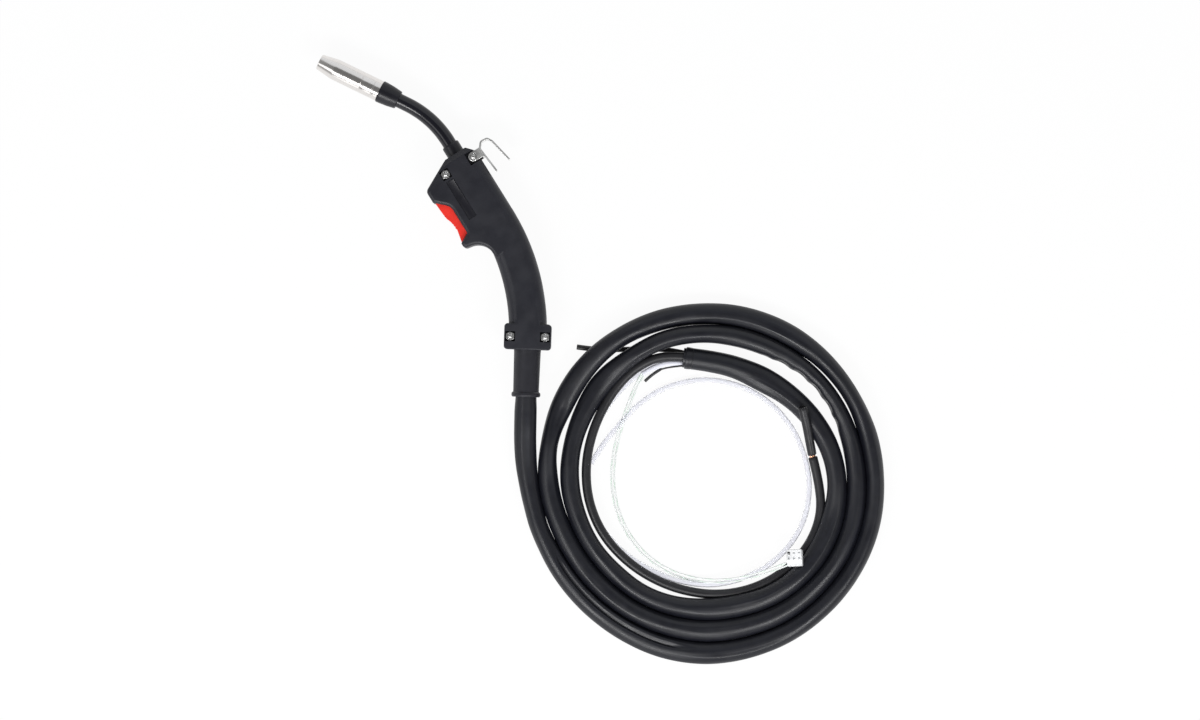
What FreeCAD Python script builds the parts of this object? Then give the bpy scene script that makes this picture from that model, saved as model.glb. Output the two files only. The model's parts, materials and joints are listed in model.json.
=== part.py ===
import FreeCAD, Part
import math
import os
import re
import Sketcher
from types import SimpleNamespace

# A hand torch for gas shielded wire welding, lying on its side with its cable coiled behind it.
# X runs across the handle towards the hook, Y forward along the handle's head, Z up.
# The origin lies on the flat underside of the lower shell, on the neck's centre line.

Vector = FreeCAD.Vector
UP = Vector(0, 0, 1)

# Driving dimensions in millimetres and degrees
SIZES = {
    # Handle shells
    "handle_thickness": 34.0,
    "grip_width": 32.0,
    "grip_corner": 9.0,
    "grip_bend_radius": 178.0,
    "grip_bend": 34.0,
    "grip_bend_start": -24.6,
    "shell_wall": 2.8,
    "head_edge_round": 3.0,
    "front_face": 39.5,
    "face_left": 10.3,
    "face_right": 9.5,
    "face_bevel": 7.3,
    "face_slope_length": 4.5,
    "face_slope_drop": 4.0,
    "chin_reach": 38.2,
    "chin_height": 25.2,
    "chin_round": 5.0,
    "bay_front": 14.2,
    "bay_depth": 11.0,
    "bay_shoulder": 3.5,
    "bay_rear": -23.0,
    "guard_reach": 36.2,
    "guard_rear": -32.8,
    "arch_front": -35.5,
    "arch_round": 17.0,
    "head_rear": -52.0,
    "badge_width": 7.4,
    "badge_length": 37.0,
    "badge_depth": 0.6,
    "badge_x": -16.2,
    "badge_y": 4.0,
    # Rear clamp of the shells
    "clamp_width": 39.7,
    "clamp_length": 22.0,
    "clamp_corner": 3.0,
    "clamp_screw_spacing": 29.5,
    # Screws and nuts
    "screw_radius": 2.0,
    "screw_hole_clearance": 0.15,
    "screw_head_radius": 3.9,
    "screw_head_height": 2.6,
    "nut_flats": 7.0,
    "nut_height": 3.2,
    "nut_pocket": 8.4,
    "nut_pocket_depth": 4.0,
    "screw_end": 0.4,
    "boss_radius": 5.2,
    "chin_screw_x": -16.6,
    "chin_screw_y": 28.6,
    "hook_screw_x": 11.1,
    "hook_screw_y": 29.1,
    # Trigger
    "trigger_thickness": 23.6,
    "trigger_pocket_clearance": 0.8,
    "pivot_x": -28.5,
    "pivot_y": 11.5,
    "pivot_boss_radius": 3.6,
    "pin_radius": 1.5,
    "pin_clearance": 0.05,
    "pin_depth_in_shell": 3.2,
    "trigger_inner": -25.0,
    # Snap switch
    "switch_length": 20.0,
    "switch_width": 10.0,
    "switch_thickness": 6.4,
    "switch_x": -20.0,
    "switch_y": -13.0,
    "switch_hole_radius": 1.2,
    "switch_hole_inset": 3.5,
    "peg_clearance": 0.05,
    "peg_length": 5.4,
    "post_radius": 2.6,
    "plunger_radius": 1.2,
    "plunger_clearance": 0.05,
    "plunger_y": -3.0,
    "plunger_gap": 0.2,
    "plunger_inside": 1.5,
    "plunger_pocket": 3.6,
    "terminal_length": 5.0,
    "terminal_width": 2.8,
    "terminal_thickness": 0.5,
    "terminal_spacing": 2.4,
    "terminal_inset": 1.2,
    # Thin leads of the switch, beside and above the grip's centre line
    "lead_spacing": 1.9,
    "lead_side_at_switch": 7.5,
    "lead_side_at_cable": 2.9,
    "lead_rise": 6.5,
    # Return spring of the trigger
    "return_spring_radius": 2.0,
    "return_spring_wire": 0.35,
    "return_spring_turns": 4.0,
    "return_spring_y": -17.5,
    "return_spring_seat": -17.0,
    "return_spring_gap": 0.1,
    "spring_seat_thickness": 1.6,
    # Swan neck
    "neck_straight": 13.0,
    "neck_bend_radius": 85.0,
    "neck_bend": 32.0,
    "neck_tube_radius": 4.5,
    "neck_tube_bore": 3.0,
    "neck_sleeve_radius": 6.15,
    "neck_tube_tail": 20.0,
    "neck_sleeve_tail": 12.0,
    "collar_radius": 7.6,
    "collar_reach": 10.0,
    "collar_inside": 12.0,
    "collar_flange_radius": 8.7,
    "collar_flange_length": 3.0,
    "collar_chamfer": 0.8,
    "saddle_half_width": 11.0,
    # Brass block at the neck's root
    "block_front": 6.0,
    "block_length": 22.0,
    "block_left": -9.0,
    "block_width": 20.0,
    "block_thickness": 14.0,
    "block_neck_socket": 8.0,
    "block_port_depth": 4.0,
    # Head: insulator, nozzle, tip and holder, measured along the head from the neck's bend
    "insulator_start": 8.0,
    "insulator_length": 17.5,
    "insulator_rear_radius": 7.8,
    "insulator_chamfer": 0.9,
    "insulator_front_radius": 9.5,
    "insulator_rim": 2.2,
    "spigot_radius": 7.0,
    "spigot_length": 14.0,
    "nozzle_length": 57.0,
    "nozzle_radius": 9.05,
    "nozzle_tip_radius": 6.65,
    "nozzle_taper": 14.5,
    "nozzle_bore_radius": 8.15,
    "nozzle_inner_radius": 7.2,
    "nozzle_mouth_radius": 5.3,
    "nozzle_counterbore": 15.0,
    "nozzle_seat_gap": 0.1,
    "nozzle_groove_front": 40.0,
    "nozzle_groove_rear": 51.0,
    "nozzle_groove_width": 0.8,
    "nozzle_groove_depth": 0.3,
    "nozzle_spring_wire": 0.45,
    "nozzle_spring_gap": 0.05,
    "nozzle_spring_start": 2.5,
    "nozzle_spring_pitch": 1.6,
    "nozzle_spring_turns": 4.0,
    "holder_radius": 5.0,
    "holder_gas_radius": 4.4,
    "holder_front_radius": 4.0,
    "holder_end": 57.0,
    "holder_nose": 5.0,
    "holder_gas_length": 12.0,
    "gas_hole_radius": 0.8,
    "tip_radius": 3.0,
    "tip_bore_radius": 0.5,
    "tip_length": 28.0,
    "tip_recess": 3.0,
    "tip_point_length": 3.0,
    "tip_point_radius": 2.0,
    # Hook
    "hook_thickness": 1.5,
    "hook_width": 12.0,
    "hook_ear_radius": 4.2,
    "hook_ear_depth": 5.0,
    "hook_plate_x": 18.0,
    "hook_notch_clearance": 1.2,
    # Boot and cable
    "boot_front": -9.0,
    "boot_end": 51.0,
    "boot_front_radius": 11.5,
    "boot_rear_radius": 10.85,
    "boot_bead_radius": 13.2,
    "boot_bead_length": 3.0,
    "boot_lip_radius": 12.35,
    "boot_lip_length": 3.4,
    "boot_cable_clearance": 0.1,
    "cable_radius": 9.0,
    "cable_start": -5.0,
    # Lines in the cable
    "liner_radius": 2.25,
    "power_radius": 4.0,
    "copper_radius": 2.6,
    "hose_radius": 2.35,
    "wire_radius": 0.75,
    "wire_offset": 1.3,
    "sleeve_radius": 2.4,
    "shrink_radius": 1.3,
    # Coil of the cable
    "coil_x": 30.1,
    "coil_y": -309.4,
    "outer_turn": 145.3,
    "middle_turn": 128.0,
    "inner_turn": 111.0,
    "inner_turn_start": 150.0,
    "closing_start": 328.0,
    "closing_radius": 98.0,
    "closing_end": 394.5,
    "opening_radius": 234.0,
    "opening_sweep": 15.7,
    "web_height": 12.0,
    "web_end": 422.5,
    "jacket_collar_radius": 9.3,
    "jacket_collar_length": 8.0,
    "jacket_collar_step": 0.9,
    "jacket_collar_bore": 7.2,
    # White connector
    "connector_width": 13.0,
    "connector_length": 13.8,
    "connector_height": 6.6,
    "connector_step": 1.4,
    "connector_step_length": 4.4,
    "connector_angle": 288.9,
    "connector_radius": 99.1,
    "connector_level": 18.3,
    "connector_turn": -30.0,
    "connector_tilt": 20.0,
    "window_width": 1.7,
    "window_pitch": 4.45,
    "window_depth": 1.6,
    "long_window": 3.0,
    "short_window": 1.4,
    "window_rows": 4.1,
}

doc = FreeCAD.newDocument("torch")
sheet = doc.addObject("Spreadsheet::Sheet", "Sizes")
for line, (alias, value) in enumerate(SIZES.items(), start=1):
    sheet.set(f"A{line}", alias)
    sheet.set(f"B{line}", str(value))
    sheet.setAlias(f"B{line}", alias)
doc.recompute()
d = SimpleNamespace(**{alias: float(sheet.get(alias)) for alias in SIZES})

# Places that many pieces share
MIDDLE = d.handle_thickness / 2
NECK_START = "(front_face + neck_straight)"
HEAD_X = "(-neck_bend_radius * (1 - cos(neck_bend)))"
HEAD_Y = f"({NECK_START} + neck_bend_radius * sin(neck_bend))"
REAR_X = "(-grip_bend_radius * (1 - cos(grip_bend)))"
REAR_Y = "(grip_bend_start - grip_bend_radius * sin(grip_bend))"
NOZZLE_START = "(insulator_start + insulator_length + nozzle_seat_gap)"
TIP_END = "(insulator_start + insulator_length + nozzle_length - tip_recess)"

nodes = []


def bound(expression):
    """The expression with every size read from the sheet."""
    return re.sub(r"[a-z]\w*_\w+", lambda found: "Sizes." + found.group(), str(expression))


def worth(expression):
    """The number that an expression of the sheet's names comes to."""
    return float(sheet.evalExpression(str(expression)))


def keep(piece, label):
    """Names a finished sub-part and lists it for writing."""
    piece.Label = label
    nodes.append(piece)
    return piece


def place(piece, x=0, y=0, z="handle_thickness / 2", axis=UP, angle=0):
    """Puts a piece where the sheet says."""
    piece.Placement = FreeCAD.Placement(Vector(0, 0, 0), FreeCAD.Rotation(axis, 30))
    for letter, expression in zip("xyz", (x, y, z)):
        piece.setExpression(f"Placement.Base.{letter}", bound(expression))
    piece.setExpression("Placement.Rotation.Angle", bound(angle))
    return piece


def feature(label, shape):
    """A sub-part whose shape is worked out here from the sheet's values."""
    piece = doc.addObject("Part::Feature", label)
    piece.Shape = shape
    return keep(piece, label)


# Sketches and the bodies made from them

def new_body(label):
    return keep(doc.addObject("PartDesign::Body", label), label)


def new_sketch(body, name, plane="XY_Plane"):
    sketch = body.newObject("Sketcher::SketchObject", name)
    support = next(item for item in body.Origin.OriginFeatures if item.Role == plane)
    sketch.AttachmentSupport = [(support, "")]
    sketch.MapMode = "FlatFace"
    return sketch


def pin_point(sketch, geometry, point, x=None, y=None):
    """Holds a point of the sketch at a place from the sheet."""
    for kind, expression in (("DistanceX", x), ("DistanceY", y)):
        if expression is None:
            continue
        datum = Sketcher.Constraint(kind, -1, 1, geometry, point, worth(expression))
        index = sketch.addConstraint(datum)
        sketch.setExpression(f"Constraints[{index}]", bound(expression))


def outline(body, name, corners, plane="XY_Plane"):
    """A closed outline of straight sides between corners from the sheet."""
    sketch = new_sketch(body, name, plane)
    spots = [Vector(worth(x), worth(y), 0) for x, y in corners]
    for here, there in zip(spots, spots[1:] + spots[:1]):
        sketch.addGeometry(Part.LineSegment(here, there), False)
    count = len(corners)
    for side in range(count):
        sketch.addConstraint(Sketcher.Constraint("Coincident", side, 2, (side + 1) % count, 1))
        pin_point(sketch, side, 1, *corners[side])
    return sketch


def circle_sketch(body, name, circles, plane="XY_Plane"):
    """Circles given as x, y and radius."""
    sketch = new_sketch(body, name, plane)
    for number, (x, y, radius) in enumerate(circles):
        spot = Vector(worth(x), worth(y), 0)
        sketch.addGeometry(Part.Circle(spot, UP, worth(radius)), False)
        pin_point(sketch, number, 3, x, y)
        index = sketch.addConstraint(Sketcher.Constraint("Radius", number, worth(radius)))
        sketch.setExpression(f"Constraints[{index}]", bound(radius))
    return sketch


def turned(label, corners):
    """A body turned about its own Y axis from corners of radius and station."""
    body = new_body(label)
    turn = body.newObject("PartDesign::Revolution", label + "_turn")
    turn.Profile = (outline(body, label + "_outline", corners), [""])
    turn.ReferenceAxis = (turn.Profile[0], ["V_Axis"])
    turn.Angle = 360
    return body


def on_head(body):
    """Places a turned piece on the straight end of the neck."""
    return place(body, HEAD_X, HEAD_Y, angle="neck_bend")


def neck_pipe(label, start, tail, outer, inner):
    """A tube that follows the neck: straight, one bend, and straight again."""
    body = new_body(label)
    spine = new_sketch(body, label + "_spine")
    straight = f"({NECK_START} - {start})"
    bend_end = Vector(worth(HEAD_X), worth(f"{HEAD_Y} - {start}"), 0)
    centre = Vector(-d.neck_bend_radius, worth(straight), 0)
    half = math.radians(d.neck_bend / 2)
    halfway = centre + d.neck_bend_radius * Vector(math.cos(half), math.sin(half), 0)
    end_x = f"({HEAD_X} - {tail} * sin(neck_bend))"
    end_y = f"({HEAD_Y} - {start} + {tail} * cos(neck_bend))"
    spine.addGeometry(Part.LineSegment(Vector(0, 0, 0), Vector(0, worth(straight), 0)), False)
    spine.addGeometry(Part.Arc(Vector(0, worth(straight), 0), halfway, bend_end), False)
    spine.addGeometry(Part.LineSegment(bend_end, Vector(worth(end_x), worth(end_y), 0)), False)
    spine.addConstraint(Sketcher.Constraint("Coincident", 0, 2, 1, 1))
    spine.addConstraint(Sketcher.Constraint("Coincident", 1, 2, 2, 1))
    pin_point(spine, 0, 1, "0", "0")
    pin_point(spine, 0, 2, "0", straight)
    pin_point(spine, 1, 3, "-neck_bend_radius", straight)
    pin_point(spine, 2, 1, HEAD_X)
    pin_point(spine, 2, 2, end_x, end_y)
    section = circle_sketch(body, label + "_section", [(0, 0, outer), (0, 0, inner)], "XZ_Plane")
    doc.recompute()
    pipe = body.newObject("PartDesign::AdditivePipe", label + "_pipe")
    pipe.Profile = (section, [""])
    pipe.Spine = (spine, [])
    return place(body, 0, start)


def coil_spring(label, radius, wire, pitch, turns):
    """A round wire wound about the body's own Y axis."""
    body = new_body(label)
    section = circle_sketch(body, label + "_wire", [(radius, wire, wire)])
    doc.recompute()
    helix = body.newObject("PartDesign::AdditiveHelix", label + "_helix")
    helix.Profile = (section, [""])
    helix.ReferenceAxis = (section, ["V_Axis"])
    helix.Mode = "pitch-turns-angle"
    helix.setExpression("Pitch", bound(pitch))
    helix.setExpression("Turns", bound(turns))
    return body


# Box and cylinder pieces

def block(name, length, width, height, x, y, z):
    """A box from its sizes and its lowest corner."""
    piece = doc.addObject("Part::Box", name)
    for side, expression in zip(("Length", "Width", "Height"), (length, width, height)):
        piece.setExpression(side, bound(expression))
    for letter, expression in zip("xyz", (x, y, z)):
        piece.setExpression(f"Placement.Base.{letter}", bound(expression))
    return piece


def rod(name, radius, length, x, y, z, axis=UP, angle=0):
    """A cylinder that starts at a point and runs up, or along the turned direction."""
    piece = doc.addObject("Part::Cylinder", name)
    piece.setExpression("Radius", bound(radius))
    piece.setExpression("Height", bound(length))
    return place(piece, x, y, z, axis, angle)


def less(name, base, tools):
    """The base with the tools cut out of it."""
    piece = doc.addObject("Part::Cut", name)
    piece.Base = base
    piece.Tool = tools[0] if len(tools) == 1 else joined(name + "_tools", tools)
    return piece


def joined(name, pieces):
    piece = doc.addObject("Part::MultiFuse", name)
    piece.Shapes = pieces
    return piece


def group(name, pieces):
    """Separate solids that share one node."""
    piece = doc.addObject("Part::Compound", name)
    piece.Links = pieces
    return piece


# Routes of cables, hoses and wires

def polar(angle, radius, height):
    """A point by its angle and distance from the middle of the coil."""
    turn = math.radians(angle)
    return Vector(d.coil_x + radius * math.cos(turn), d.coil_y + radius * math.sin(turn), height)


def grip_point(station, side, up):
    """A point beside the grip's centre line; the station is 0 where the bend starts."""
    reach = d.grip_bend_radius + side
    turn = min(max(station / d.grip_bend_radius, 0), math.radians(d.grip_bend))
    beyond = station - turn * d.grip_bend_radius
    along = Vector(-math.sin(turn), -math.cos(turn), 0)
    spot = Vector(-d.grip_bend_radius + reach * math.cos(turn), -reach * math.sin(turn), 0)
    return spot + along * beyond + Vector(0, d.grip_bend_start, MIDDLE + up)


def rounded_path(name, points):
    """Straight runs joined by tangent arcs, each as large as its two runs allow."""
    edges = []
    radii = []
    here = points[0]
    for before, corner, after in zip(points, points[1:], points[2:]):
        into = (corner - before).normalize()
        out = (after - corner).normalize()
        turn = into.getAngle(out)
        trim = 0.45 * min((corner - before).Length, (after - corner).Length)
        radius = trim / math.tan(turn / 2)
        radii.append(radius)
        start = corner - into * trim
        end = corner + out * trim
        centre = corner + (out - into).normalize() * (radius / math.cos(turn / 2))
        middle = centre + (corner - centre).normalize() * radius
        edges.append(Part.LineSegment(here, start).toShape())
        edges.append(Part.Arc(start, middle, end).toShape())
        here = end
    edges.append(Part.LineSegment(here, points[-1]).toShape())
    path = Part.Wire(edges)
    print(f"{name}: length {path.Length:.0f}, smallest arc {min(radii):.0f}")
    return path


def tube(name, points, radius):
    """A round solid along a route; its volume is checked against its length."""
    path = rounded_path(name, points)
    ring = Part.Circle(points[0], points[1] - points[0], radius).toShape()
    solid = path.makePipeShell([Part.Wire(ring)], True, False)
    expected = math.pi * radius ** 2 * path.Length
    if abs(solid.Volume / expected - 1) > 0.02:
        raise ValueError(f"{name}: volume {solid.Volume:.0f} where {expected:.0f} is expected")
    return solid


# Head: the pieces on the straight end of the neck

def gas_nozzle():
    start = NOZZLE_START
    end = "(insulator_start + insulator_length + nozzle_length)"
    corners = [
        ("nozzle_bore_radius", start),
        ("nozzle_radius", start),
    ]
    for groove in ("nozzle_groove_rear", "nozzle_groove_front"):
        low = f"({end} - {groove} - nozzle_groove_width / 2)"
        high = f"({end} - {groove} + nozzle_groove_width / 2)"
        bottom = "(nozzle_radius - nozzle_groove_depth)"
        corners += [("nozzle_radius", low), (bottom, low), (bottom, high), ("nozzle_radius", high)]
    corners += [
        ("nozzle_radius", f"({end} - nozzle_taper)"),
        ("nozzle_tip_radius", end),
        ("nozzle_mouth_radius", end),
        ("nozzle_inner_radius", f"({end} - nozzle_taper)"),
        ("nozzle_inner_radius", f"({start} + nozzle_counterbore)"),
        ("nozzle_bore_radius", f"({start} + nozzle_counterbore)"),
    ]
    on_head(turned("gas_nozzle", corners))


def nozzle_insulator():
    start = "insulator_start"
    seat = "neck_sleeve_tail"
    shoulder = "(insulator_start + insulator_length)"
    on_head(turned("nozzle_insulator", [
        ("neck_sleeve_radius", start),
        ("(insulator_rear_radius - insulator_chamfer)", start),
        ("insulator_rear_radius", f"({start} + insulator_chamfer)"),
        ("insulator_front_radius", f"({shoulder} - insulator_rim)"),
        ("insulator_front_radius", shoulder),
        ("spigot_radius", shoulder),
        ("spigot_radius", f"({shoulder} + spigot_length)"),
        ("holder_radius", f"({shoulder} + spigot_length)"),
        ("holder_radius", seat),
        ("neck_sleeve_radius", seat),
    ]))


def nozzle_spring():
    radius = "(spigot_radius + nozzle_spring_gap + nozzle_spring_wire)"
    body = coil_spring("nozzle_spring", radius, "nozzle_spring_wire",
                       "nozzle_spring_pitch", "nozzle_spring_turns")
    station = "(insulator_start + insulator_length + nozzle_spring_start)"
    x = f"({HEAD_X} - {station} * sin(neck_bend))"
    y = f"({HEAD_Y} + {station} * cos(neck_bend))"
    place(body, x, y, angle="neck_bend")


def tip_holder():
    gas_start = "(holder_end - holder_nose - holder_gas_length)"
    body = turned("tip_holder", [
        ("neck_tube_radius", "neck_sleeve_tail"),
        ("holder_radius", "neck_sleeve_tail"),
        ("holder_radius", gas_start),
        ("holder_gas_radius", gas_start),
        ("holder_gas_radius", "(holder_end - holder_nose)"),
        ("holder_front_radius", "(holder_end - holder_nose)"),
        ("holder_front_radius", "holder_end"),
        ("tip_radius", "holder_end"),
        ("tip_radius", "neck_tube_tail"),
        ("neck_tube_radius", "neck_tube_tail"),
    ])
    middle = "(holder_end - holder_nose - holder_gas_length / 2)"
    holes = circle_sketch(body, "gas_hole_circle", [(0, middle, "gas_hole_radius")])
    doc.recompute()
    pocket = body.newObject("PartDesign::Pocket", "gas_hole")
    pocket.Profile = (holes, [""])
    pocket.Type = "ThroughAll"
    pocket.Midplane = True
    pattern = body.newObject("PartDesign::PolarPattern", "gas_holes")
    pattern.Originals = [pocket]
    pattern.Axis = (holes, ["V_Axis"])
    pattern.Angle = 180
    pattern.Occurrences = 4
    body.Tip = pattern
    on_head(body)


def contact_tip():
    start = f"({TIP_END} - tip_length)"
    on_head(turned("contact_tip", [
        ("tip_bore_radius", start),
        ("tip_radius", start),
        ("tip_radius", f"({TIP_END} - tip_point_length)"),
        ("tip_point_radius", TIP_END),
        ("tip_bore_radius", TIP_END),
    ]))


# Neck

def neck():
    socket = "(block_front - block_neck_socket)"
    neck_pipe("neck_tube", socket, "neck_tube_tail", "neck_tube_radius", "neck_tube_bore")
    neck_pipe("neck_sleeve", "block_front", "neck_sleeve_tail",
              "neck_sleeve_radius", "neck_tube_radius")
    rear = "(front_face - collar_inside)"
    front = "(front_face + collar_reach)"
    place(turned("neck_collar", [
        ("neck_sleeve_radius", rear),
        ("collar_flange_radius", rear),
        ("collar_flange_radius", f"({rear} + collar_flange_length)"),
        ("collar_radius", f"({rear} + collar_flange_length)"),
        ("collar_radius", f"({front} - collar_chamfer)"),
        ("(collar_radius - collar_chamfer)", front),
        ("neck_sleeve_radius", front),
    ]))


# Lines inside the grip: side and height beside the centre line, at the block and at the cable
LINES = {
    "liner": ((0.0, 0.0), (-3.4, 2.6)),
    "power": ((6.4, -1.5), (3.2, 0.0)),
    "hose": ((-6.0, -2.0), (-3.3, -2.7)),
}


def neck_block():
    """The brass block with a socket for the neck and a port for each line."""
    rear = "(block_front - block_length)"
    body = block("block_body", "block_width", "block_length", "block_thickness",
                 "block_left", rear, "(handle_thickness - block_thickness) / 2")
    ports = [rod("block_socket", "neck_tube_radius", "block_neck_socket", 0,
                 "(block_front - block_neck_socket)", axis=Vector(-1, 0, 0), angle=90,
                 z="handle_thickness / 2")]
    ports.append(rod("block_passage", "neck_tube_bore", "block_length", 0, rear,
                     "handle_thickness / 2", Vector(-1, 0, 0), 90))
    for line_name in ("power", "hose"):
        side, up = LINES[line_name][0]
        ports.append(rod(f"block_{line_name}_port", f"{line_name}_radius", "block_port_depth",
                         side, rear, f"handle_thickness / 2 + {up}", Vector(-1, 0, 0), 90))
    keep(less("neck_block", body, ports), "neck_block")


def inner_line(line_name):
    """The route of one line from the block, together with the others, into the cable."""
    at_block, at_cable = LINES[line_name]
    bend_length = d.grip_bend_radius * math.radians(d.grip_bend)
    last = bend_length + d.cable_start
    spread = [(12.0, 0.0), (34.0, 0.35), (58.0, 0.85), (82.0, 1.0)]
    start = d.grip_bend_start - (d.block_front - d.block_length + d.block_port_depth)
    route = [grip_point(start, *at_block)]
    for station, share in spread:
        side, up = [a + share * (b - a) for a, b in zip(at_block, at_cable)]
        route.append(grip_point(station, side, up))
    route.append(grip_point(last, *at_cable))
    return route


def inner_lines():
    feature("inner_power_cable", tube("inner_power_cable", inner_line("power"), d.power_radius))
    feature("inner_gas_hose", tube("inner_gas_hose", inner_line("hose"), d.hose_radius))
    tip_rear = worth(f"{TIP_END} - tip_length")
    neck_end = Vector(worth(HEAD_X), worth(HEAD_Y), MIDDLE)
    bend = math.radians(d.neck_bend)
    forward = Vector(-math.sin(bend), math.cos(bend), 0)
    bend_start = Vector(0, worth(NECK_START), MIDDLE)
    bend_centre = Vector(-d.neck_bend_radius, bend_start.y, MIDDLE)
    steps = 3
    # Corners of a polygon outside the neck's bend, whose sides touch the bend
    outside = d.neck_bend_radius / math.cos(bend / steps / 2)
    route = [neck_end + forward * tip_rear]
    for step in reversed(range(steps)):
        turn = bend * (step + 0.5) / steps
        route.append(bend_centre + outside * Vector(math.cos(turn), math.sin(turn), 0))
    route.append(Vector(0, d.block_front, MIDDLE))
    feature("inner_liner", tube("inner_liner", route + inner_line("liner")[1:], d.liner_radius))


# Trigger and switch

def trigger():
    """The lever: a hollowed finger face outside, a hinge barrel in front, a flat inner side."""
    inner = "trigger_inner"
    face = [
        (-36.9, 12.4),
        (-36.6, 6.5),
        (-36.0, -1.0),
    ]
    # Finger ridges across the hollow of the face
    ridge_top = -3.4
    ridge_pitch = 2.7
    ridge_depth = 0.7
    for ridge in range(5):
        y = ridge_top - ridge * ridge_pitch
        x = -32.9 - 0.022 * (y + 13.0) ** 2
        face += [(x - ridge_depth, y), (x, y - ridge_pitch / 2)]
    face += [
        (-33.9, -20.0),
        (-35.4, -27.2),
    ]
    corners = face + [
        (f"{inner} - 2.5", -22.6),
        (inner, -20.0),
        (inner, "pivot_y - 3"),
        ("pivot_x + 2.6", "pivot_y + 2.6"),
        ("pivot_x", "pivot_y + pivot_boss_radius"),
        ("pivot_x - 4.0", "pivot_y + pivot_boss_radius"),
    ]
    body = new_body("trigger")
    pad = body.newObject("PartDesign::Pad", "trigger_pad")
    pad.Profile = (outline(body, "trigger_outline", corners), [""])
    pad.Midplane = True
    pad.setExpression("Length", bound("trigger_thickness"))
    hole = circle_sketch(body, "trigger_hole_circle",
                         [("pivot_x", "pivot_y", "pin_radius + pin_clearance")])
    doc.recompute()
    pocket = body.newObject("PartDesign::Pocket", "trigger_hole")
    pocket.Profile = (hole, [""])
    pocket.Type = "ThroughAll"
    pocket.Midplane = True
    place(body)


PIN_HALF = "(trigger_thickness / 2 + trigger_pocket_clearance + pin_depth_in_shell)"


def trigger_pin():
    pin = rod("trigger_pin", "pin_radius", f"2 * {PIN_HALF}", "pivot_x", "pivot_y",
              f"handle_thickness / 2 - {PIN_HALF}")
    keep(pin, "trigger_pin")


def switch_hole_places():
    """Centres of the two mounting holes of the switch."""
    x = "(switch_x + switch_width - switch_hole_inset)"
    low = "(switch_y + switch_hole_inset)"
    high = "(switch_y + switch_length - switch_hole_inset)"
    return [(x, low), (x, high)]


def snap_switch():
    bottom = "(handle_thickness - switch_thickness) / 2"
    body = block("switch_box", "switch_width", "switch_length", "switch_thickness",
                 "switch_x", "switch_y", bottom)
    holes = []
    for number, (x, y) in enumerate(switch_hole_places()):
        holes.append(rod(f"switch_hole_{number}", "switch_hole_radius", "switch_thickness",
                         x, y, bottom))
    holes.append(rod("switch_bore", "plunger_radius + plunger_clearance", "plunger_pocket",
                     "switch_x", "plunger_y", "handle_thickness / 2", Vector(0, 1, 0), 90))
    keep(less("switch_body", body, holes), "switch_body")
    tip = "(trigger_inner + plunger_gap)"
    plunger = rod("switch_plunger", "plunger_radius", f"switch_x + plunger_inside - {tip}",
                  tip, "plunger_y", "handle_thickness / 2", Vector(0, 1, 0), 90)
    keep(plunger, "switch_plunger")
    blades = []
    for number in range(2):
        x = f"switch_x + switch_width - terminal_inset - {number} * terminal_spacing"
        blades.append(block(f"terminal_{number}", "terminal_thickness", "terminal_length",
                            "terminal_width", x, "switch_y - terminal_length",
                            "(handle_thickness - terminal_width) / 2"))
    keep(group("switch_terminals", blades), "switch_terminals")


def switch_leads():
    """Two thin wires from the blades into the bundle of lines."""
    leads = []
    bend_length = d.grip_bend_radius * math.radians(d.grip_bend)
    for number in range(2):
        blade = d.switch_x + d.switch_width - d.terminal_inset - number * d.terminal_spacing
        x = blade + d.terminal_thickness / 2
        y = d.switch_y - d.terminal_length
        step = number * d.lead_spacing
        beside = d.lead_side_at_cable - step
        route = [
            Vector(x, y, MIDDLE),
            Vector(x + 0.6, y - 2.2 * d.terminal_length, MIDDLE + 0.4 * d.lead_rise),
            grip_point(0.246 * bend_length, -d.lead_side_at_switch - step, d.lead_rise),
            grip_point(0.455 * bend_length, beside - 2 * d.lead_spacing, d.lead_rise + 0.5),
            grip_point(0.682 * bend_length, beside - 0.5, d.lead_rise - 0.7),
            grip_point(bend_length + d.cable_start, beside, d.lead_rise - 1.1),
        ]
        leads.append(tube(f"switch_lead_{number}", route, d.wire_radius))
    feature("switch_leads", Part.makeCompound(leads))


def return_spring():
    """The spring between the trigger's inner side and its seat in the shells."""
    room = "(return_spring_seat - trigger_inner - 2 * return_spring_gap - 2 * return_spring_wire)"
    body = coil_spring("trigger_spring", "return_spring_radius", "return_spring_wire",
                       f"{room} / return_spring_turns", "return_spring_turns")
    place(body, "trigger_inner + return_spring_gap", "return_spring_y", angle=-90)


# Handle shells

def rounded_outline(corners):
    """A closed wire of straight sides; each corner is x, y and its rounding."""
    edges = []
    count = len(corners)
    trimmed = []
    for number, (x, y, radius) in enumerate(corners):
        corner = Vector(x, y, 0)
        into = (corner - Vector(*corners[number - 1][:2], 0)).normalize()
        out = (Vector(*corners[(number + 1) % count][:2], 0) - corner).normalize()
        trim = radius * math.tan(into.getAngle(out) / 2)
        start = corner - into * trim
        end = corner + out * trim
        trimmed.append((start, end))
        if radius > 0:
            towards = (out - into).normalize()
            reach = radius / math.cos(into.getAngle(out) / 2)
            middle = corner + towards * (reach - radius)
            edges.append((start, middle, end))
        else:
            edges.append(None)
    shapes = []
    for number in range(count):
        if edges[number]:
            shapes.append(Part.Arc(*edges[number]).toShape())
        shapes.append(Part.LineSegment(trimmed[number][1], trimmed[(number + 1) % count][0]).toShape())
    return Part.Wire(shapes)


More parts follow.
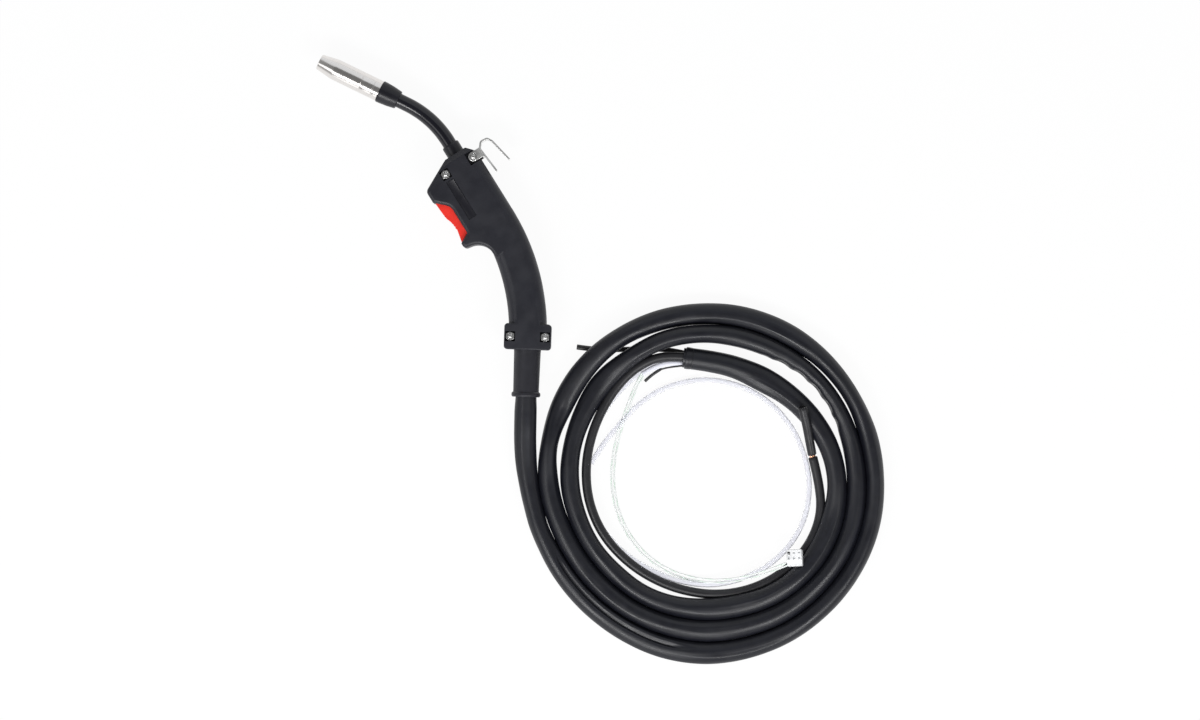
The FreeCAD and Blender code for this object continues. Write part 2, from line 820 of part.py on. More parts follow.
def head_outline():
    """The outline of the handle's head, seen from above, with the trigger's bay in its side."""
    half = d.grip_width / 2
    reach = d.grip_bend_radius
    swing = math.asin((d.grip_bend_start - d.head_rear) / reach)
    rear_back = -reach + (reach + half) * math.cos(swing)
    rear_front = -reach + (reach - half) * math.cos(swing)
    bay_x = -(d.chin_reach - d.bay_depth)
    return rounded_outline([
        (-d.face_left, d.front_face, 1.0),
        (d.face_right, d.front_face, 1.0),
        (half, d.front_face - d.face_bevel, 1.5),
        (half, d.grip_bend_start, 150.0),
        (rear_back - 0.1, d.head_rear, 0.0),
        (rear_front + 0.1, d.head_rear, 0.0),
        (rear_front + 0.1, d.arch_front, d.arch_round * 0.9),
        (-d.guard_reach, d.guard_rear, 3.4),
        (-d.guard_reach, d.bay_rear - 4.6, 1.0),
        (bay_x, d.bay_rear, 3.0),
        (bay_x, d.bay_shoulder, 9.0),
        (-d.chin_reach, d.bay_front, 1.0),
        (-d.chin_reach, d.chin_height, d.chin_round),
    ])


def prism(wire, bottom, top):
    solid = Part.Face(wire).extrude(Vector(0, 0, top - bottom))
    solid.translate(Vector(0, 0, bottom))
    return solid


def grip_section(half_width, height, corner):
    """Half of the grip's section, above the parting plane, at the start of the bend."""
    y = d.grip_bend_start
    side = height - corner
    flat = half_width - corner
    lean = corner * math.sqrt(0.5)
    return Part.Face(Part.Wire([
        Part.LineSegment(Vector(-half_width, y, 0), Vector(half_width, y, 0)).toShape(),
        Part.LineSegment(Vector(half_width, y, 0), Vector(half_width, y, side)).toShape(),
        Part.Arc(Vector(half_width, y, side), Vector(flat + lean, y, side + lean),
                 Vector(flat, y, height)).toShape(),
        Part.LineSegment(Vector(flat, y, height), Vector(-flat, y, height)).toShape(),
        Part.Arc(Vector(-flat, y, height), Vector(-flat - lean, y, side + lean),
                 Vector(-half_width, y, side)).toShape(),
        Part.LineSegment(Vector(-half_width, y, side), Vector(-half_width, y, 0)).toShape(),
    ]))


def swept_grip(half_width, height, corner, angle):
    """The bent grip, turned about the middle of its bend."""
    pivot = Vector(-d.grip_bend_radius, d.grip_bend_start, 0)
    return grip_section(half_width, height, corner).revolve(pivot, Vector(0, 0, -1), angle)


def at_rear(shape):
    """Moves a shape whose Y axis points back along the cable to the rear clamp."""
    shape.rotate(Vector(0, 0, 0), UP, 180 - d.grip_bend)
    shape.translate(Vector(worth(REAR_X), worth(REAR_Y), 0))
    return shape


def clamp_outline():
    half = d.clamp_width / 2
    end = d.clamp_length / 2
    corner = d.clamp_corner
    return rounded_outline([(-half, -end, corner), (-half, end, corner),
                            (half, end, corner), (half, -end, corner)])


def clamp_screw_places():
    """Centres of the two rear screws."""
    reach = d.clamp_screw_spacing / 2
    bend = math.radians(d.grip_bend)
    rear = Vector(worth(REAR_X), worth(REAR_Y), 0)
    across = Vector(math.cos(bend), -math.sin(bend), 0)
    return [rear - across * reach, rear + across * reach]


def trigger_room():
    """The room that the trigger sweeps inside the shells, seen from above."""
    spare = d.trigger_pocket_clearance
    return rounded_outline([
        (-d.chin_reach - 8, d.bay_front - 0.8, 0),
        (-36.6, d.bay_front - 0.8, 0),
        (d.pivot_x - 4.4, d.pivot_y + d.pivot_boss_radius + spare, 0),
        (d.pivot_x + 1.6, d.pivot_y + d.pivot_boss_radius + spare, 0),
        (d.pivot_x + 5.0, d.pivot_y + 2.2, 0),
        (d.trigger_inner + 0.8 + spare, 4.0, 0),
        (d.trigger_inner + 3.4 + spare, -19.0, 0),
        (d.trigger_inner + 1.6 + spare, -23.2, 0),
        (-31.5, -28.4, 0),
        (-d.chin_reach - 8, -28.4, 0),
    ])


def cylinder_y(radius, start, end, x=0.0):
    return Part.makeCylinder(radius, end - start, Vector(x, start, 0), Vector(0, 1, 0))


def back_room(inset):
    """All that lies under the large round of the handle's back, which the grip carries on."""
    y = d.grip_bend_start
    right = d.grip_width / 2 - inset
    top = d.handle_thickness / 2 - inset
    corner = d.grip_corner - inset
    lean = corner * math.sqrt(0.5)
    flat = right - corner
    left = -2 * d.chin_reach
    section = Part.Face(Part.Wire([
        Part.LineSegment(Vector(left, y, -1), Vector(right, y, -1)).toShape(),
        Part.LineSegment(Vector(right, y, -1), Vector(right, y, top - corner)).toShape(),
        Part.Arc(Vector(right, y, top - corner), Vector(flat + lean, y, top - corner + lean),
                 Vector(flat, y, top)).toShape(),
        Part.LineSegment(Vector(flat, y, top), Vector(left, y, top)).toShape(),
        Part.LineSegment(Vector(left, y, top), Vector(left, y, -1)).toShape(),
    ]))
    ahead = section.extrude(Vector(0, 2 * d.front_face, 0))
    pivot = Vector(-d.grip_bend_radius, y, 0)
    return ahead.fuse(section.revolve(pivot, Vector(0, 0, -1), d.grip_bend))


def face_slope():
    """What the slope at the front face's upper edge takes away."""
    half = d.handle_thickness / 2
    start = d.front_face - d.face_slope_length
    beyond = d.face_slope_drop / d.face_slope_length
    wedge = Part.makePolygon([
        Vector(-d.chin_reach, start, half),
        Vector(-d.chin_reach, d.front_face + 1, half - d.face_slope_drop - beyond),
        Vector(-d.chin_reach, d.front_face + 1, half + 1),
        Vector(-d.chin_reach, start, half + 1),
        Vector(-d.chin_reach, start, half),
    ])
    return Part.Face(wedge).extrude(Vector(2 * d.chin_reach, 0, 0))


def half_shell(upper):
    """One half of the handle above the parting plane at height 0, without its fastenings.
    The upper half has the large round along its back and the slope at its face."""
    half = d.handle_thickness / 2
    wall = d.shell_wall
    wire = head_outline()
    head = prism(wire, 0, half)
    rim = [edge for edge in head.Edges
           if edge.BoundBox.ZMin > half - 0.01 and edge.BoundBox.YMin > d.head_rear + 0.5]
    head = head.makeFillet(d.head_edge_round, rim)
    if upper:
        head = head.common(back_room(0)).cut(face_slope())
    grip = swept_grip(d.grip_width / 2, half, d.grip_corner, d.grip_bend)
    clamp = prism(clamp_outline(), 0, half)
    top = [edge for edge in clamp.Edges if edge.BoundBox.ZMin > half - 0.01]
    clamp = at_rear(clamp.makeChamfer(1.0, top))
    shell = head.fuse([grip, clamp]).removeSplitter()

    inner = wire.makeOffset2D(-wall)
    clamp_share = math.degrees((d.clamp_length / 2) / d.grip_bend_radius)
    hollow = prism(inner, 0, half - wall)
    if upper:
        hollow = hollow.common(back_room(wall))
    hollow = hollow.fuse(swept_grip(d.grip_width / 2 - wall, half - wall, d.grip_corner - wall,
                                    d.grip_bend - clamp_share))
    # Solid places inside the hollow: bosses, saddles, posts and seats
    solids = []
    for x, y in ((d.chin_screw_x, d.chin_screw_y), (d.hook_screw_x, d.hook_screw_y)):
        solids.append(Part.makeCylinder(d.boss_radius, half - wall, Vector(x, y, 0)))
    saddle_start = d.front_face - d.collar_inside - wall
    solids.append(Part.makeBox(2 * d.saddle_half_width, d.collar_inside, half - wall,
                               Vector(-d.saddle_half_width, saddle_start, 0)))
    pad_inset = 4.0
    block_rear = d.block_front - d.block_length
    block_top = d.block_thickness / 2
    solids.append(Part.makeBox(d.block_width - 2 * pad_inset, d.block_length - 2 * pad_inset,
                               half - wall - block_top,
                               Vector(d.block_left + pad_inset, block_rear + pad_inset, block_top)))
    pin_wall = d.trigger_thickness / 2 + d.trigger_pocket_clearance
    solids.append(Part.makeCylinder(d.pivot_boss_radius, half - wall - pin_wall,
                                    Vector(d.pivot_x, d.pivot_y, pin_wall)))
    switch_top = d.switch_thickness / 2
    for x, y in switch_hole_places():
        solids.append(Part.makeCylinder(d.post_radius, half - wall - switch_top,
                                        Vector(worth(x), worth(y), switch_top)))
    seat_depth = 2 * d.return_spring_radius + 2
    solids.append(Part.makeBox(d.spring_seat_thickness, seat_depth, half - wall,
                               Vector(d.return_spring_seat,
                                      d.return_spring_y - seat_depth / 2, 0)))
    hollow = hollow.cut(solids)
    shell = shell.cut(hollow)

    # Openings: neck collar, boot, trigger and its pin
    flange = d.front_face - d.collar_inside
    cuts = [
        cylinder_y(d.neck_sleeve_radius, saddle_start - 1, flange),
        cylinder_y(d.collar_flange_radius, flange, flange + d.collar_flange_length),
        cylinder_y(d.collar_radius, flange, d.front_face + 1),
        at_rear(cylinder_y(d.boot_front_radius, -d.clamp_length / 2 - 2, d.clamp_length / 2 + 1)),
        at_rear(cylinder_y(d.boot_bead_radius, d.boot_front, d.boot_front + d.boot_bead_length)),
        prism(trigger_room(), 0, pin_wall),
        Part.makeCylinder(d.pin_radius, pin_wall + d.pin_depth_in_shell,
                          Vector(d.pivot_x, d.pivot_y, 0)),
    ]
    shell = shell.cut(cuts)

    # Bare panel on the side, hook notch and screw holes
    hole = d.screw_radius + d.screw_hole_clearance
    cuts = [Part.makeBox(d.badge_width, d.badge_length, d.badge_depth + 1,
                         Vector(d.badge_x - d.badge_width / 2, d.badge_y - d.badge_length / 2,
                                half - d.badge_depth))]
    notch = d.hook_ear_radius + d.hook_notch_clearance
    cuts.append(Part.makeBox(d.grip_width, 2 * notch, d.hook_ear_depth + 1,
                             Vector(d.hook_screw_x - notch, d.hook_screw_y - notch,
                                    half - d.hook_ear_depth)))
    for spot in screw_places():
        cuts.append(Part.makeCylinder(hole, half + 1, Vector(spot.x, spot.y, 0)))
    return shell.cut(cuts)


def screw_places():
    """Centres of the four screws: chin, hook and the two at the rear."""
    chin = Vector(d.chin_screw_x, d.chin_screw_y, 0)
    hook = Vector(d.hook_screw_x, d.hook_screw_y, 0)
    return [chin, hook] + clamp_screw_places()


def pocket_turn(number):
    """The rear pockets stand square to the cable, the front ones square to the head."""
    return -d.grip_bend if number > 1 else 0


def handle_shells():
    half = d.handle_thickness / 2
    seat = half - d.nut_pocket_depth
    pockets = []
    sinks = []
    for number, spot in enumerate(screw_places()):
        side = d.nut_pocket
        pocket = Part.makeBox(side, side, d.nut_pocket_depth + 1, Vector(-side / 2, -side / 2, seat))
        pocket.rotate(Vector(0, 0, 0), UP, pocket_turn(number))
        pocket.translate(spot)
        pockets.append(pocket)
        sink = Part.makeCylinder(side / 2, d.nut_pocket_depth + 1, Vector(spot.x, spot.y, seat))
        sinks.append(sink)
    upper = half_shell(True).cut(pockets)
    upper.translate(Vector(0, 0, half))
    feature("handle_shell_upper", upper)
    lower = half_shell(False).cut(sinks)
    peg = d.switch_hole_radius - d.peg_clearance
    switch_top = d.switch_thickness / 2
    for x, y in switch_hole_places():
        lower = lower.fuse(Part.makeCylinder(peg, d.peg_length,
                                             Vector(worth(x), worth(y), switch_top - d.peg_length)))
    lower = lower.mirror(Vector(0, 0, 0), UP)
    lower.translate(Vector(0, 0, half))
    feature("handle_shell_lower", lower)


def seat_height(number):
    """Height of a nut's or screw head's seat above the parting plane."""
    half = d.handle_thickness / 2
    if number == 1:
        return half - d.hook_ear_depth + d.hook_thickness
    return half - d.nut_pocket_depth


def fasteners():
    nuts = []
    screws = []
    corner = d.nut_flats / math.sqrt(3)
    for number, spot in enumerate(screw_places()):
        seat = seat_height(number)
        turn = math.radians(30 + pocket_turn(number))
        points = []
        for side in range(7):
            angle = turn + math.radians(60 * side)
            points.append(spot + Vector(corner * math.cos(angle), corner * math.sin(angle),
                                        MIDDLE + seat))
        nut = Part.Face(Part.makePolygon(points)).extrude(Vector(0, 0, d.nut_height))
        hole = Part.makeCylinder(d.screw_radius, d.nut_height, spot + Vector(0, 0, MIDDLE + seat))
        nuts.append(nut.cut(hole))
        head = Part.makeCylinder(d.screw_head_radius, d.screw_head_height,
                                 spot + Vector(0, 0, MIDDLE - seat - d.screw_head_height))
        head = head.makeFillet(1.0, [edge for edge in head.Edges
                                     if edge.BoundBox.ZMax < MIDDLE - seat - 1])
        shank = Part.makeCylinder(d.screw_radius, 2 * seat + d.nut_height + d.screw_end,
                                  spot + Vector(0, 0, MIDDLE - seat))
        screws.append(head.fuse(shank))
    feature("handle_nuts", Part.makeCompound(nuts))
    feature("handle_screws", Part.makeCompound(screws))


def hook():
    """A bent strip: a leg along the handle, a bow and a free leg, with an ear on each side."""
    thick = d.hook_thickness
    path = rounded_outline_open([
        (21.9, 9.0, 0),
        (19.6, 33.0, 2.6),
        (23.4, 37.4, 2.6),
        (29.4, 36.9, 2.6),
        (31.9, 32.6, 2.6),
        (36.1, 11.7, 0),
    ])
    start = path.Vertexes[0].Point
    along = path.Edges[0].tangentAt(path.Edges[0].FirstParameter)
    across = along.cross(UP)
    low = MIDDLE - d.hook_width / 2
    corners = []
    for side, up in ((-1, 0), (1, 0), (1, 1), (-1, 1), (-1, 0)):
        corners.append(start + across * (side * thick / 2) + Vector(0, 0, low + up * d.hook_width))
    strip = path.copy()
    strip.translate(Vector(0, 0, low))
    bent = strip.makePipeShell([Part.makePolygon(corners)], True, True)
    half = d.handle_thickness / 2
    ear_low = half - d.hook_ear_depth
    ear = d.hook_ear_radius
    plate = Part.makeBox(thick, 2 * ear, 2 * (ear_low + thick),
                         Vector(d.hook_plate_x, d.hook_screw_y - ear, MIDDLE - ear_low - thick))
    shape = bent.fuse(plate)
    for bottom in (MIDDLE + ear_low, MIDDLE - ear_low - thick):
        tab = Part.makeBox(d.hook_plate_x + thick - d.hook_screw_x, 2 * ear, thick,
                           Vector(d.hook_screw_x, d.hook_screw_y - ear, bottom))
        ring = Part.makeCylinder(ear, thick, Vector(d.hook_screw_x, d.hook_screw_y, bottom))
        shape = shape.fuse([tab, ring])
    hole = Part.makeCylinder(d.screw_radius, d.handle_thickness,
                             Vector(d.hook_screw_x, d.hook_screw_y, 0))
    feature("hook", shape.cut(hole).removeSplitter())


def rounded_outline_open(corners):
    """An open wire of straight runs with rounded corners."""
    spots = [Vector(x, y, 0) for x, y, _ in corners]
    edges = []
    here = spots[0]
    for number in range(1, len(spots) - 1):
        radius = corners[number][2]
        into = (spots[number] - spots[number - 1]).normalize()
        out = (spots[number + 1] - spots[number]).normalize()
        turn = into.getAngle(out)
        start = spots[number] - into * (radius * math.tan(turn / 2))
        end = spots[number] + out * (radius * math.tan(turn / 2))
        reach = radius / math.cos(turn / 2)
        middle = spots[number] + (out - into).normalize() * (reach - radius)
        edges.append(Part.LineSegment(here, start).toShape())
        edges.append(Part.Arc(start, middle, end).toShape())
        here = end
    edges.append(Part.LineSegment(here, spots[-1]).toShape())
    return Part.Wire(edges)


# Boot and the cable behind it

def cable_boot():
    bore = "(cable_radius + boot_cable_clearance)"
    body = turned("cable_boot", [
        (bore, "boot_front"),
        ("boot_bead_radius", "boot_front"),
        ("boot_bead_radius", "boot_front + boot_bead_length"),
        ("boot_front_radius", "boot_front + boot_bead_length"),
        ("boot_front_radius", "clamp_length / 2 + 2"),
        ("boot_rear_radius", "boot_end - boot_lip_length"),
        ("boot_lip_radius", "boot_end - boot_lip_length"),
        ("boot_lip_radius", "boot_end"),
        (bore, "boot_end"),
    ])
    place(body, REAR_X, REAR_Y, angle="180 - grip_bend")


def cable_lead():
    """The cable from inside the boot, down to the ground and into the outer turn."""
    bend_length = d.grip_bend_radius * math.radians(d.grip_bend)
    route = [
        grip_point(bend_length + d.cable_start, 0, 0),
        grip_point(bend_length + 62, 0, 0),
        Vector(-83.5, -204.0, 12.2),
        Vector(-97.0, -231.5, 9.4),
        Vector(-104.2, -252.0, 9.0),
    ]
    feature("cable_lead", tube("cable_lead", route, d.cable_radius))


def cable_coil():
    """The outer shape of the turns: two full rounds, and an inner one that stops short."""
    middle = Vector(d.coil_x, d.coil_y, 0)

    def ring(radius, start=0.0, sweep=360.0, centre=middle):
        spot = centre + Vector(radius, 0, d.cable_radius)
        face = Part.Face(Part.Wire(Part.Circle(spot, Vector(0, 1, 0), d.cable_radius).toShape()))
        face.rotate(centre, UP, start)
        return face.revolve(centre, UP, sweep)

    def web(inner, outer, start=0.0, sweep=360.0):
        low = d.cable_radius - d.web_height / 2
        face = Part.Face(Part.makePolygon([
            middle + Vector(inner, 0, low),
            middle + Vector(outer, 0, low),
            middle + Vector(outer, 0, low + d.web_height),
            middle + Vector(inner, 0, low + d.web_height),
            middle + Vector(inner, 0, low),
        ]))
        face.rotate(middle, UP, start)
        return face.revolve(middle, UP, sweep)

    # The inner turn closes in on a smaller circle, then opens again towards the jacket's end
    def beside(centre, angle, distance):
        turn = math.radians(angle)
        return centre + Vector(distance * math.cos(turn), distance * math.sin(turn), 0)

    closing = beside(middle, d.closing_start, d.inner_turn - d.closing_radius)
    opening = beside(closing, d.closing_end, d.closing_radius - d.opening_radius)
    pieces = [
        ring(d.middle_turn),
        web(d.middle_turn, d.outer_turn),
        ring(d.inner_turn, d.inner_turn_start, d.closing_start - d.inner_turn_start),
        ring(d.closing_radius, d.closing_start, d.closing_end - d.closing_start, closing),
        ring(d.opening_radius, d.closing_end, d.opening_sweep, opening),
        web(d.inner_turn, d.middle_turn, d.inner_turn_start, d.web_end - d.inner_turn_start),
    ]
    feature("cable_coil", ring(d.outer_turn).fuse(pieces))


def jacket_end_collar():
    """The stepped ring on the jacket's open end, in line with the end of the inner turn."""
    step = "(jacket_collar_length * 0.6)"
    narrow = "(jacket_collar_radius - jacket_collar_step)"
    body = turned("jacket_end_collar", [
        ("jacket_collar_bore", "0"),
        ("jacket_collar_radius", "0"),
        ("jacket_collar_radius", step),
        (narrow, step),
        (narrow, "jacket_collar_length"),
        ("jacket_collar_bore", "jacket_collar_length"),
    ])
    heading = "(closing_end + opening_sweep)"
    spot = ["(inner_turn - closing_radius) * {0}(closing_start)",
            "(closing_radius - opening_radius) * {0}(closing_end)",
            "opening_radius * {0}" + heading]
    x = "coil_x + " + " + ".join(spot).format("cos")
    y = "coil_y + " + " + ".join(spot).format("sin")
    place(body, x, y, "jacket_collar_radius", angle=heading)


# Routes from the jacket's end: angle about the coil's middle, distance from it, height
POWER_ROUTE = [
    (65.8, 108.7, 12.2),
    (73.0, 113.0, 11.6),
    (82.0, 115.4, 10.4),
    (93.0, 113.8, 9.4),
    (106.0, 109.4, 9.0),
    (121.0, 105.4, 9.0),
    (138.0, 102.4, 9.0),
    (156.0, 99.8, 9.0),
    (174.0, 96.8, 8.9),
    (192.0, 93.4, 8.0),
    (209.0, 92.0, 6.6),
    (226.0, 92.8, 5.0),
    (244.0, 95.8, 4.3),
    (262.0, 98.6, 4.2),
    (280.0, 100.8, 4.2),
    (297.0, 103.6, 4.2),
    (313.0, 103.4, 4.2),
    (328.0, 98.4, 4.7),
    (341.5, 95.6, 6.2),
]
STUB_ROUTE = [
    (343.3, 95.6, 6.7),
    (352.0, 97.6, 12.0),
    (359.0, 101.0, 18.0),
    (365.8, 105.4, 22.0),
]
HOSE_ROUTE = [
    (66.1, 106.6, 5.4),
    (73.6, 109.6, 3.4),
    (84.0, 109.8, 2.5),
    (97.0, 107.8, 2.5),
    (113.0, 105.6, 2.5),
    (131.0, 103.8, 2.5),
    (149.0, 101.0, 2.5),
    (167.0, 97.0, 2.5),
    (185.0, 91.8, 2.5),
    (203.0, 87.4, 2.5),
    (222.0, 86.4, 2.5),
    (242.0, 87.6, 2.5),
    (262.0, 88.6, 2.5),
    (282.0, 90.6, 2.5),
    (302.0, 92.2, 2.5),
    (321.0, 91.6, 2.5),
    (340.0, 90.4, 2.5),
    (360.0, 90.2, 2.5),
    (380.0, 90.2, 2.5),
    (400.0, 90.0, 2.5),
    (420.0, 89.8, 2.5),
    (440.0, 89.0, 2.5),
    (458.0, 88.0, 2.5),
    (473.0, 87.8, 2.5),
    (486.0, 92.0, 2.5),
    (497.6, 97.2, 2.5),
]
LINER_ROUTE = [
    (65.3, 111.7, 6.7),
    (70.8, 116.4, 4.4),
    (77.6, 122.0, 2.7),
    (85.0, 128.8, 2.5),
    (91.8, 137.4, 2.5),
    (97.2, 147.6, 2.5),
    (100.8, 158.8, 2.5),
]
SLEEVE_ROUTE = [
    (66.6, 103.4, 9.1),
    (72.8, 106.8, 8.6),
    (79.8, 108.4, 7.8),
    (87.0, 107.0, 6.8),
]
CONTROL_ROUTE = [
    (87.0, 107.0, 6.8),
    (91.6, 102.4, 6.0),
    (97.6, 96.2, 4.8),
    (105.5, 89.8, 3.2),
    (116.0, 84.6, 1.4),
    (130.0, 80.4, 0.9),
    (146.0, 78.2, 0.9),
    (164.0, 77.6, 0.9),
    (182.0, 78.0, 0.9),
    (200.0, 79.4, 0.9),
    (218.0, 81.0, 0.9),
    (234.0, 82.4, 1.8),
    (248.0, 84.6, 6.0),
    (260.0, 87.0, 10.2),
    (270.0, 90.0, 13.0),
    (277.6, 93.6, 15.4),
    (284.0, 97.6, 16.6),
]
SPARE_ROUTE = [
    (66.8, 101.9, 12.0),
    (72.4, 103.0, 9.6),
    (78.0, 104.3, 5.0),
]
SHRINK_ROUTE = [
    (78.0, 104.3, 5.0),
    (83.0, 103.4, 2.6),
    (87.8, 100.6, 1.6),
]


def free_line(label, route, radius):
    feature(label, tube(label, [polar(*spot) for spot in route], radius))


def free_lines():
    """The lines that come out of the jacket's end."""
    free_line("power_cable", POWER_ROUTE, d.power_radius)
    free_line("power_cable_stub", STUB_ROUTE, d.power_radius)
    bare_start = polar(*POWER_ROUTE[-1])
    bare = polar(*STUB_ROUTE[0]) - bare_start
    feature("copper_core", Part.makeCylinder(d.copper_radius, bare.Length, bare_start, bare))
    free_line("gas_hose", HOSE_ROUTE, d.hose_radius)
    free_line("wire_liner", LINER_ROUTE, d.liner_radius)
    free_line("wire_sleeve", SLEEVE_ROUTE, d.sleeve_radius)
    free_line("spare_wire", SPARE_ROUTE, d.wire_radius)
    free_line("spare_wire_cap", SHRINK_ROUTE, d.shrink_radius)
    for label, side in (("control_wire_a", -d.wire_offset), ("control_wire_b", d.wire_offset)):
        free_line(label, [(angle, radius + side, height) for angle, radius, height in CONTROL_ROUTE],
                  d.wire_radius)


def wire_connector():
    """A flat white housing with a row of long and a row of short windows, lower at one end."""
    wide = d.connector_width
    long = d.connector_length
    tall = d.connector_height
    body = Part.makeBox(wide, long, tall, Vector(-wide / 2, -long / 2, -tall / 2))
    body = body.makeChamfer(0.5, body.Edges)
    cuts = [Part.makeBox(wide, d.connector_step_length, d.connector_step,
                         Vector(-wide / 2, -long / 2, tall / 2 - d.connector_step))]
    for y, size in ((0, d.long_window), (d.window_rows, d.short_window)):
        for column in (-1, 0, 1):
            cuts.append(Part.makeBox(
                d.window_width, size, d.window_depth + 1,
                Vector(column * d.window_pitch - d.window_width / 2, y - size / 2,
                       tall / 2 - d.window_depth)))
    piece = feature("wire_connector", body.cut(cuts))
    # It leans on the inner turn: its outer side is raised
    turn = math.radians(d.connector_angle)
    across = Vector(math.sin(turn), -math.cos(turn), 0)
    lean = FreeCAD.Rotation(across, d.connector_tilt)
    spot = polar(d.connector_angle, d.connector_radius, d.connector_level)
    piece.Placement = FreeCAD.Placement(spot, lean * FreeCAD.Rotation(UP, d.connector_turn))


def build():
    gas_nozzle()
    nozzle_insulator()
    nozzle_spring()
    tip_holder()
    contact_tip()
    neck()
    neck_block()
    inner_lines()
    trigger()
    trigger_pin()
    snap_switch()
    switch_leads()
    return_spring()
    handle_shells()
    fasteners()
    hook()
    cable_boot()
    cable_lead()
    cable_coil()
    jacket_end_collar()
    free_lines()
    wire_connector()


def check():
    """Stops if any object has failed or any sub-part has no valid shape."""
    doc.recompute()
    for item in doc.Objects:
        if "Invalid" in item.State or "Error" in item.State:
            raise ValueError(f"{item.Label} failed: {item.State}")
    for piece in nodes:
        if piece.Shape.isNull() or not piece.Shape.isValid():
            raise ValueError(f"{piece.Label} has no valid shape")


build()
check()
os.makedirs("parts", exist_ok=True)
for piece in nodes:
    piece.Shape.exportStep(f"parts/{piece.Label}.step")
print(f"{len(nodes)} sub-parts written")
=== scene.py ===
import json
import math

import bmesh
import bpy
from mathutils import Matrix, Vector, noise


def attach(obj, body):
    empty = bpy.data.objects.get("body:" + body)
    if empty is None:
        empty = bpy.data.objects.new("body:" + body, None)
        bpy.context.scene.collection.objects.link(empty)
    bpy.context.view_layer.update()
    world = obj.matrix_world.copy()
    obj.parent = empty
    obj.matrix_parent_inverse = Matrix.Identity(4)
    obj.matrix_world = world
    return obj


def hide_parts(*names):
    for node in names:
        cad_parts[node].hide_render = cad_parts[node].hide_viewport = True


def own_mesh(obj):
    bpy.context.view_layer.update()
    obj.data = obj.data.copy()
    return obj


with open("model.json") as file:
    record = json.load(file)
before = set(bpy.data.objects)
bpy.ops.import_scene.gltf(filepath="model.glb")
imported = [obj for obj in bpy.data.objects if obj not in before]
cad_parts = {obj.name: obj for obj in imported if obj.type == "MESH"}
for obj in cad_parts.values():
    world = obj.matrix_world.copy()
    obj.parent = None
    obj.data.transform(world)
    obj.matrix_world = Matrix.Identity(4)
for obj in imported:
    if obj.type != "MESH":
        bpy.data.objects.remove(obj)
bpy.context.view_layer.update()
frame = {"nodes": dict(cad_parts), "record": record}

# Places and directions of the part, in metres
MM = 0.001
UP = Vector((0.0, 0.0, 1.0))
MIDDLE = 0.017
FACE = Vector((0.0, 0.0395, MIDDLE))
FACE_WAY = Vector((0.0, 1.0, 0.0))
COIL_MIDDLE = Vector((0.0301, -0.3094, 0.0))
mounts = {mount["name"]: mount for mount in frame["record"]["mounts"]}
TIP = Vector(mounts["tip_bore"]["pos_m"])
HEAD_WAY = Vector(mounts["tip_bore"]["axis"])
GRIP_TURN = 34.0
GRIP_BEND = math.radians(GRIP_TURN)
REAR = Vector((-0.03043, -0.12414, MIDDLE))
REAR_WAY = Vector((-math.sin(GRIP_BEND), -math.cos(GRIP_BEND), 0.0))
REAR_ACROSS = Vector((math.cos(GRIP_BEND), -math.sin(GRIP_BEND), 0.0))


def placed(name, data):
    """A new object of the scene."""
    thing = bpy.data.objects.new(name, data)
    bpy.context.scene.collection.objects.link(thing)
    return thing


# Camera: straight above the middle of the photograph

PHOTO_WIDTH = 1.02
CAMERA_HEIGHT = 3.0
VIEW_MIDDLE = Vector((0.01105, -0.17319, 0.012))
VIEW_TURN = math.radians(-32.0)


def add_camera():
    data = bpy.data.cameras.new("camera")
    data.lens = data.sensor_width * CAMERA_HEIGHT / PHOTO_WIDTH
    data.clip_end = 20.0
    camera = placed("camera", data)
    camera.location = VIEW_MIDDLE + CAMERA_HEIGHT * UP
    camera.rotation_euler = (0.0, 0.0, VIEW_TURN)
    bpy.context.scene.camera = camera


# Nodes of a material

def add_node(tree, kind, **settings):
    """A node; its settings are values of its own sockets."""
    node = tree.nodes.new(kind)
    for name, value in settings.items():
        node.inputs[name.replace("_", " ").title()].default_value = value
    return node


def shader_of(material):
    return material.node_tree.nodes["Principled BSDF"]


def new_material(name, colour, roughness, metallic=0.0, **uniform):
    material = bpy.data.materials.new(name)
    material.use_nodes = True
    shader = shader_of(material)
    shader.inputs["Base Color"].default_value = (*colour, 1.0)
    shader.inputs["Roughness"].default_value = roughness
    shader.inputs["Metallic"].default_value = metallic
    for words, value in uniform.items():
        shader.inputs[words.replace("_", " ")].default_value = value
    return material


def grain(material, size, stretch=(1.0, 1.0, 1.0), detail=3.0, turn=0.0, skin=False):
    """Noise whose features are of a size in metres, turned about Z and then stretched.
    On a cord's skin its third axis runs along the cord."""
    tree = material.node_tree
    if skin:
        place = tree.nodes.new("ShaderNodeAttribute")
        place.attribute_name = "skin"
        source = place.outputs["Vector"]
    else:
        source = tree.nodes.new("ShaderNodeTexCoord").outputs["Object"]
    rotate = add_node(tree, "ShaderNodeVectorRotate", Angle=turn)
    rotate.rotation_type = "Z_AXIS"
    mapping = add_node(tree, "ShaderNodeMapping", Scale=stretch)
    texture = add_node(tree, "ShaderNodeTexNoise", Scale=1.0 / size, Detail=detail)
    tree.links.new(source, rotate.inputs["Vector"])
    tree.links.new(rotate.outputs["Vector"], mapping.inputs["Vector"])
    tree.links.new(mapping.outputs["Vector"], texture.inputs["Vector"])
    return texture.outputs["Fac"]


def spread(material, source, low, high, start=0.35, end=0.65):
    """Maps part of a texture's range to other values."""
    node = add_node(material.node_tree, "ShaderNodeMapRange",
                    From_Min=start, From_Max=end, To_Min=low, To_Max=high)
    material.node_tree.links.new(source, node.inputs["Value"])
    return node.outputs["Result"]


def vary_roughness(material, source, low, high):
    result = spread(material, source, low, high)
    material.node_tree.links.new(result, shader_of(material).inputs["Roughness"])


